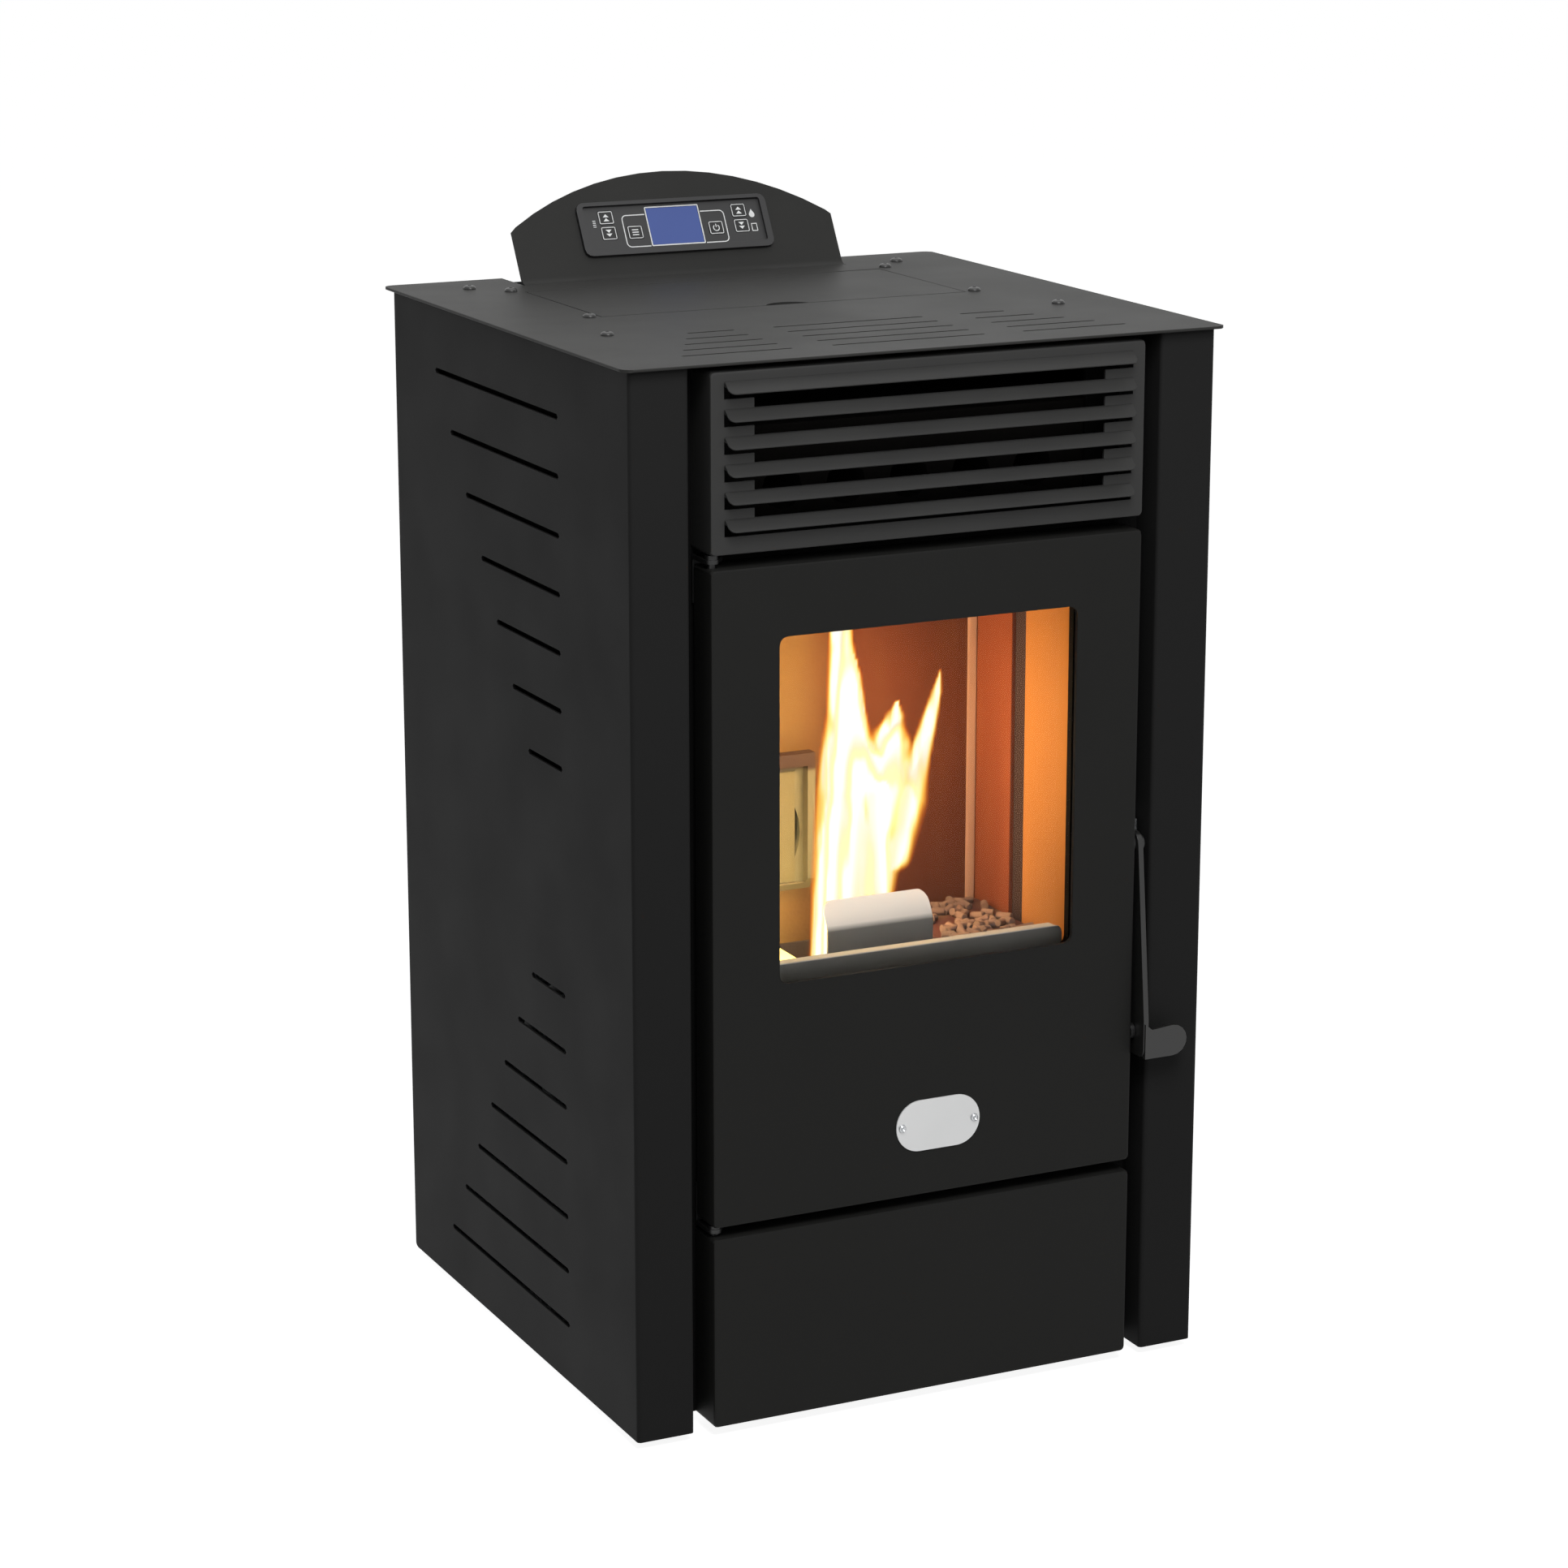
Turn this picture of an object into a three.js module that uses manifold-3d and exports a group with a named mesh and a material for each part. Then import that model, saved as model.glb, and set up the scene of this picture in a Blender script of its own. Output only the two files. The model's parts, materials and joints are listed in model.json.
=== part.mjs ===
// Freestanding pellet stove, millimetres, +Z up, front towards -Y.
// The origin is on the floor, in the middle of the room that the stove takes up.
import * as THREE from 'three';
import { mergeVertices } from 'three/addons/utils/BufferGeometryUtils.js';
import Module from 'manifold-3d';

const wasm = await Module();
wasm.setup();

// ---------------------------------------------------------------- driving dimensions

// casing
const bodyWidth = 444;
const bodyDepth = 430;
const plateTop = 756;
const handleReach = 16;
const flueReach = 50;
const coverFloorGap = 6;
const sheet = 2;
const bendRadius = 3;
const seat = 0.3;
const pillarWidth = 43;
const columnGap = 14;
const rearReturn = 20;
const coverCorner = 8;

// worktop and control panel
const plateOverhang = 6;
const plateCorner = 8;
const lidWidth = 288.4;
const lidDepth = 137;
const lidFromRear = 71;
const lidSideGap = 0.8;
const lidRearGap = 2.5;
const panelWidth = 264;
const panelHeight = 84.3;
const panelShoulder = 42;
const panelCrownRadius = 231;
const panelLean = 30;
const panelFromRear = 33;
const panelBend = 8;
const ventRows = 5;
const ventPitch = 22.8;
const ventFirstRow = 33;
const ventWidth = 2.8;
const ventMiddleHalf = 58.5;
const ventOuterStart = 87.5;
const ventSide = 58.5;
const ventOuterLong = bodyWidth / 2 + plateOverhang - ventSide;
const ventStep = 11.5;

// side slots
const slotHeight = 4;
const slotFront = 119.5;
const slotRows = 7;
const slotPitch = 41;
const slotLongest = 227;
const slotShorter = 27.6;
const slotTopMargin = 50;
const slotBottomRow = 50;

// front column: plinth, door and louvre, one above the other
const columnWidth = bodyWidth - 2 * (pillarWidth + columnGap);
const columnProud = 3;
const frameRecess = 29;
const frameSheet = 3;
const plinthBottom = 7.5;
const plinthTop = 147;
const plinthGap = 8;
const grilleGap = 9.5;
const grilleHeight = 123;
const plateGap = 6;
const grilleTop = plateTop - plateGap;
const grilleBottom = grilleTop - grilleHeight;
const doorTop = grilleBottom - grilleGap;
const doorBottom = plinthTop + plinthGap;
const edgeRound = 2;

// louvre
const louvreCount = 6;
const louvrePitch = 18.4;
const louvreHead = 8;
const louvreSide = 10;
const louvreWidth = columnWidth - 2 * louvreSide;
const louvreLength = 13;
const louvreAngle = 45;
const louvreCorner = 7;
const louvreTab = 22;
const louvreWindow = louvreWidth - 2 * louvreTab;

// door
const doorSkin = 3;
const doorDepth = 27;
const windowSide = 50.5;
const windowHead = 49.5;
const windowSill = 170;
const windowWidth = columnWidth - 2 * windowSide;
const windowHeight = doorTop - windowHead - doorBottom - windowSill;
const windowCorner = 6;
const glassThickness = 4;
const glassRecess = 9;
const glassLap = 10;
const innerFrame = 6;
const ropeSize = 12;
const railHeight = 21;
const railLip = 9;
const hingeInset = 5;
const hingeSetback = 10;
const hingePin = 3;
const hingeLeaf = 3;
const hingeLeafWidth = 16;
const runningGap = 0.3;

// handle
const leverThickness = 4;
const leverPivotRadius = 9;
const leverPivotHeight = 389;
const leverBottom = 234;
const leverSideGap = 3.5;
const tabWidth = 30.5;
const tabHeight = 23;
const boltRadius = 4;
const hookRadius = 20.2;
const keeperRadius = 3;

// firebox
const mouthSide = 37;
const mouthRail = 13;
const mouthWidth = columnWidth - 2 * mouthSide;
const mouthBottom = doorBottom + mouthRail;
const mouthTop = doorTop - mouthRail - 0.5;
const fireboxLap = 12;
const fireboxWidth = mouthWidth + 2 * fireboxLap;
const feedRoom = 276;
const fireboxDepth = bodyDepth - feedRoom;
const fireboxBottom = 160;
const fireboxHeadroom = 50;
const fireboxTop = plateTop - fireboxHeadroom;
const fireboxWall = 4;
const hearthTop = 280;
const hearthPlate = 4;
const linerThickness = 4;
const linerTop = mouthTop + 7.7;
const smokeGap = 29.7;
const exchangerTubes = 5;
const exchangerSide = 44;
const exchangerPitch = (fireboxWidth - 2 * exchangerSide) / (exchangerTubes - 1);
const exchangerRadius = 17;
const exchangerDrop = 44;
const exchangerHeight = fireboxTop - exchangerDrop;
const tubeWall = 2;

// burn pot
const potWidth = 88;
const potFront = 74;
const potRear = 26;
const potDrop = 32;
const potRise = 20;
const potBottom = hearthTop - potDrop;
const potRim = hearthTop + potRise;
const potWall = 3;
const guardWidth = potWidth - 4;
const guardBend = potRim + 34;
const guardFlap = 22;
const guardLean = 30;

// pellet feed
const feedX = -36;
const hopperLedge = 12.2;
const hopperFrontLedge = 8;
const hopperRearLedge = 11;
const hopperMouthWidth = lidWidth - 2 * hopperLedge;
const hopperMouthDepth = lidDepth - hopperFrontLedge - hopperRearLedge;
const hopperSlope = 115;
const hopperNeck = 14.7;
const outletFromRear = 154;
const augerAngle = 45;
const augerTubeRadius = 26;
const augerTubeWall = 2.5;
const augerTubeLength = 189.5;
const augerGap = 2;
const augerRadius = augerTubeRadius - augerTubeWall - augerGap;
const hopperOutlet = 2 * augerTubeRadius;
const augerPitch = 34;
const augerShaft = 6;
const augerFromRear = 86;
const augerStartZ = 313;
const collarRise = 117;
const chuteFrom = 165;
const chuteFall = 96;
const chuteFrameBar = 6;
const chuteFrameProud = 10;
const chuteFrameTop = 58;
const chuteFrameBottom = 46;

// air and smoke
const flueRadius = 40;
const flueX = -87;
const flueZ = 165;
const intakeRadius = 25;
const intakeX = 80;
const intakeZ = 215;
const intakeReach = 30;
const fanFromRear = 108;

// ---------------------------------------------------------------- planes that the parts share

const halfWidth = bodyWidth / 2;
const frontY = handleReach - (handleReach + bodyDepth + flueReach) / 2;
const rearY = frontY + bodyDepth;
const plateBottom = plateTop - sheet;
const faceY = frontY - columnProud;
const frameY = frontY + frameRecess;
const frameBackY = frameY + frameSheet;
const columnHalf = columnWidth / 2;
const innerHalf = halfWidth - sheet;
const backPanelY = rearY - 2 * sheet;
const trayTop = 18;
const trayBottom = trayTop - sheet;
const flueEndY = rearY + flueReach;

// ---------------------------------------------------------------- geometry helpers

function toSolid(geometry) {
  const bare = geometry.index ? geometry.toNonIndexed() : geometry.clone();
  bare.deleteAttribute('normal');
  bare.deleteAttribute('uv');
  const merged = mergeVertices(bare, 1e-4);
  return new wasm.Manifold(new wasm.Mesh({
    numProp: 3,
    vertProperties: new Float32Array(merged.attributes.position.array),
    triVerts: new Uint32Array(merged.index.array),
  }));
}

function toGeometry(solid) {
  const mesh = solid.asOriginal().simplify(0.01).getMesh();
  const geometry = new THREE.BufferGeometry();
  geometry.setAttribute('position', new THREE.BufferAttribute(mesh.vertProperties, 3));
  geometry.setIndex(new THREE.BufferAttribute(mesh.triVerts, 1));
  geometry.computeVertexNormals();
  return geometry;
}

function join(...solids) {
  return solids.flat().reduce((whole, part) => whole.add(part));
}

function cut(solid, ...cutters) {
  return cutters.flat().reduce((rest, cutter) => rest.subtract(cutter), solid);
}

function box(x0, x1, y0, y1, z0, z1) {
  const geometry = new THREE.BoxGeometry(x1 - x0, y1 - y0, z1 - z0);
  geometry.translate((x0 + x1) / 2, (y0 + y1) / 2, (z0 + z1) / 2);
  return toSolid(geometry);
}

// the turns that carry a drawn outline (u, v) and its thickness w onto the stove's axes
const turns = {
  x: new THREE.Matrix4().makeBasis(
    new THREE.Vector3(0, 1, 0), new THREE.Vector3(0, 0, 1), new THREE.Vector3(1, 0, 0)),
  y: new THREE.Matrix4().makeBasis(
    new THREE.Vector3(1, 0, 0), new THREE.Vector3(0, 0, 1), new THREE.Vector3(0, -1, 0)),
  z: new THREE.Matrix4(),
};

function shapeOf(outline, holes = []) {
  const shape = new THREE.Shape(outline.map(([u, v]) => new THREE.Vector2(u, v)));
  shape.holes = holes.map((hole) => new THREE.Path(hole.map(([u, v]) => new THREE.Vector2(u, v))));
  return shape;
}

// an outline drawn in (y, z), (x, z) or (x, y), extruded along the third axis
function prismGeometry(along, outline, from, to, holes = []) {
  const options = { depth: to - from, bevelEnabled: false };
  const geometry = new THREE.ExtrudeGeometry(shapeOf(outline, holes), options);
  geometry.applyMatrix4(turns[along]);
  if (along === 'x') geometry.translate(from, 0, 0);
  if (along === 'y') geometry.translate(0, to, 0);
  if (along === 'z') geometry.translate(0, 0, from);
  return geometry;
}

function prism(along, outline, from, to, holes = []) {
  return toSolid(prismGeometry(along, outline, from, to, holes));
}

function arc(cu, cv, radius, startDegrees, endDegrees, steps) {
  const points = [];
  for (let i = 0; i <= steps; i += 1) {
    const angle = THREE.MathUtils.degToRad(startDegrees + ((endDegrees - startDegrees) * i) / steps);
    points.push([cu + radius * Math.cos(angle), cv + radius * Math.sin(angle)]);
  }
  return points;
}

function circle(cu, cv, radius, sides) {
  return arc(cu, cv, radius, 0, 360, sides).slice(0, sides);
}

function roundRect(u0, u1, v0, v1, radius, steps = 3) {
  return [
    ...arc(u1 - radius, v0 + radius, radius, -90, 0, steps),
    ...arc(u1 - radius, v1 - radius, radius, 0, 90, steps),
    ...arc(u0 + radius, v1 - radius, radius, 90, 180, steps),
    ...arc(u0 + radius, v0 + radius, radius, 180, 270, steps),
  ];
}

function stadium(u0, u1, v, height, steps = 3) {
  const radius = height / 2;
  return [
    ...arc(u1 - radius, v, radius, -90, 90, steps),
    ...arc(u0 + radius, v, radius, 90, 270, steps),
  ];
}

function rect(u0, u1, v0, v1) {
  return [[u0, v0], [u1, v0], [u1, v1], [u0, v1]];
}

// rounds the inner corners of an open path
function roundPath(points, radius, steps = 3) {
  const out = [points[0]];
  for (let i = 1; i < points.length - 1; i += 1) {
    const corner = new THREE.Vector2(...points[i]);
    const back = new THREE.Vector2(...points[i - 1]).sub(corner).normalize();
    const ahead = new THREE.Vector2(...points[i + 1]).sub(corner).normalize();
    const half = back.angleTo(ahead) / 2;
    const reach = radius / Math.tan(half);
    const middle = back.clone().add(ahead).normalize().multiplyScalar(radius / Math.sin(half)).add(corner);
    const start = corner.clone().addScaledVector(back, reach).sub(middle);
    const end = corner.clone().addScaledVector(ahead, reach).sub(middle);
    const sweep = Math.atan2(start.x * end.y - start.y * end.x, start.dot(end));
    for (let k = 0; k <= steps; k += 1) {
      const turned = start.clone().rotateAround(new THREE.Vector2(), (sweep * k) / steps).add(middle);
      out.push([turned.x, turned.y]);
    }
  }
  out.push(points[points.length - 1]);
  return out;
}

// shifts an open path to its left by a distance
function offsetPath(points, distance) {
  const lines = [];
  for (let i = 0; i < points.length - 1; i += 1) {
    const start = new THREE.Vector2(...points[i]);
    const end = new THREE.Vector2(...points[i + 1]);
    const along = end.clone().sub(start).normalize();
    const normal = new THREE.Vector2(-along.y, along.x).multiplyScalar(distance);
    lines.push({ start: start.add(normal), end: end.add(normal), along });
  }
  const out = [lines[0].start];
  for (let i = 1; i < lines.length; i += 1) {
    const first = lines[i - 1];
    const second = lines[i];
    const between = second.start.clone().sub(first.start);
    const reach = between.cross(second.along) / first.along.cross(second.along);
    out.push(first.start.clone().addScaledVector(first.along, reach));
  }
  out.push(lines[lines.length - 1].end);
  return out.map((point) => [point.x, point.y]);
}

// the section of a folded sheet whose outer face follows a path that only turns left
function foldedSection(path, thickness, radius) {
  const outer = roundPath(path, radius);
  const inner = roundPath(offsetPath(path, thickness), Math.max(radius - thickness, 0.5));
  return [...outer, ...inner.reverse()];
}

function mirrored(outline) {
  return outline.map(([u, v]) => [-u, v]).reverse();
}

// a skin over matching convex rings of points, closed by a flat face at each end
function loft(rings) {
  const sides = rings[0].length;
  const position = rings.flat(2);
  const index = [];
  for (let r = 0; r < rings.length - 1; r += 1) {
    for (let i = 0; i < sides; i += 1) {
      const a = r * sides + i;
      const b = r * sides + ((i + 1) % sides);
      index.push(a, b, b + sides, a, b + sides, a + sides);
    }
  }
  const last = (rings.length - 1) * sides;
  for (let i = 1; i < sides - 1; i += 1) {
    index.push(0, i + 1, i);
    index.push(last, last + i, last + i + 1);
  }
  const geometry = new THREE.BufferGeometry();
  geometry.setAttribute('position', new THREE.Float32BufferAttribute(position, 3));
  geometry.setIndex(index);
  return geometry;
}

function at(outline, z) {
  return outline.map(([u, v]) => [u, v, z]);
}

function rod(from, to, radius, sides = 16) {
  const start = new THREE.Vector3(...from);
  const end = new THREE.Vector3(...to);
  const along = end.clone().sub(start);
  const geometry = new THREE.CylinderGeometry(radius, radius, along.length(), sides);
  geometry.applyQuaternion(new THREE.Quaternion().setFromUnitVectors(
    new THREE.Vector3(0, 1, 0), along.clone().normalize()));
  const middle = start.add(end).multiplyScalar(0.5);
  geometry.translate(middle.x, middle.y, middle.z);
  return toSolid(geometry);
}

// a shallow pressed tray, open at the back, whose front edges and corners are rounded
function pressedPan(halfU, v0, v1, front, back, wall, skin, round) {
  const rings = [];
  for (let i = 0; i <= 2; i += 1) {
    const angle = (Math.PI / 4) * i;
    const inset = round * (1 - Math.sin(angle));
    const depth = round * (1 - Math.cos(angle));
    const ring = roundRect(-halfU + inset, halfU - inset, v0 + inset, v1 - inset, round + 1);
    rings.push(ring.map(([u, v]) => [u, v, -depth]));
  }
  const rim = roundRect(-halfU, halfU, v0, v1, round + 1);
  rings.push(at(rim, front - back));
  const outer = loft(rings.reverse());
  outer.applyMatrix4(turns.y);
  outer.translate(0, front, 0);
  const hollow = box(-halfU + wall, halfU - wall, front + skin, back + 1, v0 + wall, v1 - wall);
  return cut(toSolid(outer), hollow);
}

// ---------------------------------------------------------------- finishes

function finish(color, roughness, metalness, extra = {}) {
  return new THREE.MeshStandardMaterial({ color, roughness, metalness, ...extra });
}

const blackPaint = () => finish(0x242424, 0.62, 0.1);
const platePaint = () => finish(0x4a4a48, 0.5, 0.15);
const doorPaint = () => finish(0x222220, 0.55, 0.1);
const grillePaint = () => finish(0x343434, 0.5, 0.15);
const galvanised = () => finish(0x9a9ea0, 0.45, 0.85);
const scaledSteel = () => finish(0x5b4a41, 0.8, 0.5);
const stainless = () => finish(0xb9b9b6, 0.3, 0.95);
const castIron = () => finish(0x3a3634, 0.75, 0.4);
const vermiculite = () => finish(0x7c5a43, 0.9, 0);
const zinc = () => finish(0xc6c8ca, 0.3, 0.9);
const rubber = () => finish(0x1a1a1a, 0.85, 0);
const rope = () => finish(0x5a5850, 0.95, 0);
const plastic = () => finish(0x2b2b2b, 0.45, 0);
const keyFace = () => finish(0x2f2f30, 0.4, 0);
const clearGlass = () => finish(0x6c5a48, 0.08, 0, { transparent: true, opacity: 0.3 });
const lcdBlue = () => finish(0x3f5596, 0.25, 0);
const circuitGreen = () => finish(0x1f5a34, 0.6, 0);
const motorAlloy = () => finish(0x8b8d8e, 0.4, 0.8);

const stove = new THREE.Group();

function add(name, solid, material, parent = stove) {
  const geometry = solid.isBufferGeometry ? solid : toGeometry(solid);
  const mesh = new THREE.Mesh(geometry, material);
  mesh.name = name;
  parent.add(mesh);
  return mesh;
}

// ---------------------------------------------------------------- base: tray and feet

const footInset = 42;
const footStem = 4;
const footPad = 17;
const trayRim = 24;
const trayBack = backPanelY;
const footPlaces = {
  foot_front_left: [-halfWidth + footInset, frameBackY + footInset],
  foot_front_right: [halfWidth - footInset, frameBackY + footInset],
  foot_rear_left: [-halfWidth + footInset, trayBack - footInset],
  foot_rear_right: [halfWidth - footInset, trayBack - footInset],
};

function makeBase() {
  const rimTop = trayTop + trayRim;
  const outer = box(-innerHalf, innerHalf, frameBackY, trayBack, trayBottom, rimTop);
  const inner = box(-innerHalf + sheet, innerHalf - sheet, frameBackY + sheet, trayBack - sheet,
    trayTop, rimTop + 1);
  const holes = Object.values(footPlaces).map(([x, y]) => (
    rod([x, y, trayBottom - 1], [x, y, trayTop + 1], footStem + seat, 12)));
  add('base_tray', cut(outer, inner, holes), galvanised());

  const profile = [[0, 0], [footPad - 1, 0], [footPad, 1], [footPad - 2, 9], [8, 10],
    [8, trayBottom], [footStem, trayBottom], [footStem, trayTop + 12], [0, trayTop + 12]];
  for (const [name, [x, y]] of Object.entries(footPlaces)) {
    const foot = new THREE.LatheGeometry(profile.map(([r, z]) => new THREE.Vector2(r, z)), 10);
    foot.rotateX(Math.PI / 2);
    const mesh = add(name, toGeometry(toSolid(foot)), rubber());
    mesh.position.set(x, y, 0);
  }
}

// ---------------------------------------------------------------- side covers and back panel

function sideSlots(xFrom, xTo) {
  const slots = [];
  const front = frontY + slotFront;
  for (let i = 0; i < slotRows; i += 1) {
    const rear = front + slotLongest - i * slotShorter;
    for (const z of [plateTop - slotTopMargin - i * slotPitch, slotBottomRow + i * slotPitch]) {
      slots.push(prism('x', stadium(front, rear, z, slotHeight, 2), xFrom, xTo));
    }
  }
  return slots;
}

// what a rounded lower rear corner takes off a cover
function cornerCutter(xFrom, xTo) {
  const round = arc(rearY - coverCorner, coverFloorGap + coverCorner, coverCorner, -90, 0, 4);
  const outline = [[rearY + 1, coverFloorGap - 1], ...round.reverse(), [rearY - coverCorner, coverFloorGap - 1]];
  outline.splice(1, 0, [rearY + 1, coverFloorGap + coverCorner]);
  return prism('x', outline, xFrom, xTo);
}

function makeSideCovers() {
  const flangeX = -halfWidth + pillarWidth;
  const path = [[-halfWidth + rearReturn, rearY], [-halfWidth, rearY], [-halfWidth, frontY],
    [flangeX, frontY], [flangeX, frameY]];
  const section = foldedSection(path, sheet, bendRadius);
  const left = cut(prism('z', section, coverFloorGap, plateBottom),
    sideSlots(-halfWidth - 5, -halfWidth + 5), cornerCutter(-halfWidth - 5, -halfWidth + rearReturn + 5));
  const right = cut(prism('z', mirrored(section), coverFloorGap, plateBottom),
    sideSlots(halfWidth - 5, halfWidth + 5), cornerCutter(halfWidth - rearReturn - 5, halfWidth + 5));
  add('side_cover_left', left, blackPaint());
  add('side_cover_right', right, blackPaint());
}

const backPanelBottom = 10;
const inletX = innerHalf - 70;
const inletZ = 58;
const inletWidth = 50;
const inletHeight = 28;
const rearVentSide = 58.8;
const rearVentWidth = 110;
const rearVentFirst = 330;
const rearVentPitch = 24;
const rearVentRows = 7;

function makeBackPanel() {
  const half = innerHalf - 1.2;
  const holes = [
    circle(flueX, flueZ, flueRadius + 3, 24),
    circle(intakeX, intakeZ, intakeRadius + 2, 20),
    rect(inletX - inletWidth / 2 + 3, inletX + inletWidth / 2 - 3,
      inletZ - inletHeight / 2 + 2, inletZ + inletHeight / 2 - 2),
  ];
  for (let row = 0; row < rearVentRows; row += 1) {
    for (const side of [-1, 1]) {
      const outer = side * (half - rearVentSide);
      const inner = outer - side * rearVentWidth;
      holes.push(stadium(Math.min(inner, outer), Math.max(inner, outer), rearVentFirst + row * rearVentPitch, 6, 2));
    }
  }
  add('back_panel', prism('y', rect(-half, half, backPanelBottom, plateBottom),
    backPanelY, backPanelY + sheet, holes), galvanised());
}

// ---------------------------------------------------------------- worktop with its upturned panel

const lidRearY = rearY - lidFromRear;
const lidFrontY = lidRearY - lidDepth;
const lidHalf = lidWidth / 2;
const panelHalf = panelWidth / 2;
const lean = THREE.MathUtils.degToRad(panelLean);
const panelFootY = rearY - panelFromRear;

// the control panel's own frame: x across, z up the panel from its foot, y into it
function panelMatrix() {
  const matrix = new THREE.Matrix4().makeRotationX(-lean);
  matrix.setPosition(0, panelFootY, plateTop);
  return matrix;
}

function bezelOpening(margin) {
  return rect(-bezelBodyHalf - margin, bezelBodyHalf + margin, bezelBodyLow - margin, bezelBodyHigh + margin);
}

function topVents() {
  const vents = [];
  for (let row = 0; row < ventRows; row += 1) {
    const y = frontY + ventFirstRow + row * ventPitch;
    const outer = ventOuterLong - row * ventStep;
    vents.push(stadium(-ventMiddleHalf, ventMiddleHalf, y, ventWidth, 2));
    vents.push(stadium(-outer, -ventOuterStart, y, ventWidth, 2));
    vents.push(stadium(ventOuterStart, outer, y, ventWidth, 2));
  }
  return vents;
}

// the arch above the panel's shoulders
function panelArch() {
  const half = panelHalf - 4;
  const centre = panelHeight - panelCrownRadius;
  const edge = THREE.MathUtils.radToDeg(Math.acos(half / panelCrownRadius));
  return arc(0, centre, panelCrownRadius, edge, 180 - edge, 14);
}

function makeTopPlate() {
  const half = halfWidth + plateOverhang;
  const front = frontY - plateOverhang;
  const rear = rearY + plateOverhang;
  const bendStart = panelFootY - panelBend * Math.tan((Math.PI / 2 - lean) / 2);
  const opening = rect(-lidHalf - lidSideGap, lidHalf + lidSideGap,
    lidFrontY - lidSideGap, lidRearY + lidRearGap);
  const flat = prism('z', roundRect(-half, half, front, rear, plateCorner), plateBottom, plateTop,
    [opening, ...topVents()]);
  const relief = box(-panelHalf - 1, panelHalf + 1, bendStart, rear + 1, plateBottom - 1, plateTop + 1);

  // the sheet runs on over the bend and up the lean
  const bendZ = plateTop + panelBend;
  const bendEnd = -panelLean;
  const rise = panelHeight + 10;
  const tip = ([u, v]) => [u + rise * Math.sin(lean), v + rise * Math.cos(lean)];
  const inside = arc(bendStart, bendZ, panelBend, -90, bendEnd, 5);
  const outside = arc(bendStart, bendZ, panelBend + sheet, -90, bendEnd, 5);
  const strip = [[bendStart - 5, plateBottom], ...outside, tip(outside[5]), tip(inside[5]),
    ...inside.reverse(), [bendStart - 5, plateTop]];
  const bent = prism('x', strip, -panelHalf - 5, panelHalf + 5);
  const arch = [[panelHalf, -60], [panelHalf, panelShoulder], ...panelArch(),
    [-panelHalf, panelShoulder], [-panelHalf, -60]];
  const trim = prismGeometry('y', arch, -80, 80).applyMatrix4(panelMatrix());
  const window = prismGeometry('y', bezelOpening(0.5), -20, 20).applyMatrix4(panelMatrix());
  const tab = cut(bent.intersect(toSolid(trim)), toSolid(window));
  add('top_plate', join(cut(flat, relief), tab), platePaint());
}

// ---------------------------------------------------------------- hopper lid and its hinge

const lidRodRadius = 2;
const lidRodY = lidRearY - 2;
const lidRodZ = plateBottom - lidRodRadius - seat;
const lidRodHalf = lidHalf + 9.5;
const notchHalf = 17;
const notchDepth = 10;

function fingerNotch(margin) {
  const half = notchHalf + margin;
  const depth = notchDepth + margin;
  const radius = (half * half + depth * depth) / (2 * depth);
  const middle = lidFrontY + depth - radius;
  const spread = THREE.MathUtils.radToDeg(Math.asin(half / radius));
  return [...arc(0, middle, radius, 90 - spread, 90 + spread, 8), [-half, lidFrontY - 1], [half, lidFrontY - 1]];
}

function makeLid() {
  const flat = prism('z', rect(-lidHalf, lidHalf, lidFrontY, lidRearY), plateBottom, plateTop);
  const notch = prism('z', fingerNotch(0), plateBottom - 1, plateTop + 1);
  const knuckles = [-lidHalf + 38, lidHalf - 50].map((x) => prism('x',
    circle(lidRodY, lidRodZ, lidRodRadius + 2, 14), x, x + 12));
  const bore = rod([-lidHalf - 2, lidRodY, lidRodZ], [lidHalf + 2, lidRodY, lidRodZ],
    lidRodRadius + runningGap, 14);
  const above = box(-lidHalf - 1, lidHalf + 1, lidFrontY, lidRearY + 2, plateTop, plateTop + 5);
  add('hopper_lid', cut(join(cut(flat, notch), knuckles), bore, above), platePaint());
  add('lid_hinge_rod', rod([-lidRodHalf, lidRodY, lidRodZ], [lidRodHalf, lidRodY, lidRodZ], lidRodRadius, 12),
    zinc());
}

// ---------------------------------------------------------------- control unit in the panel

const bezelHalf = 78;
const bezelLow = 17.5;
const bezelHigh = 60.5;
const bezelProud = 3.5;
const bezelLip = 5;
const bezelFloor = -1;
const bezelBodyHalf = 70;
const bezelBodyLow = 24;
const bezelBodyHigh = 57;
const bezelBodyDepth = 15;
const lcdHalf = 21;
const lcdLow = 24.8;
const lcdHigh = 54.3;
const keyWidth = 12;
const keyHeight = 10.6;
const keyThickness = 1.5;
const keyTravel = 0.4;
const keyPlaces = {
  key_left_up: [-54.8, 48.6],
  key_left_down: [-54.8, 36],
  key_menu: [-33.4, 35.6],
  key_power: [33.4, 35.6],
  key_right_up: [54.8, 48.6],
  key_right_down: [54.8, 36],
};

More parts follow.
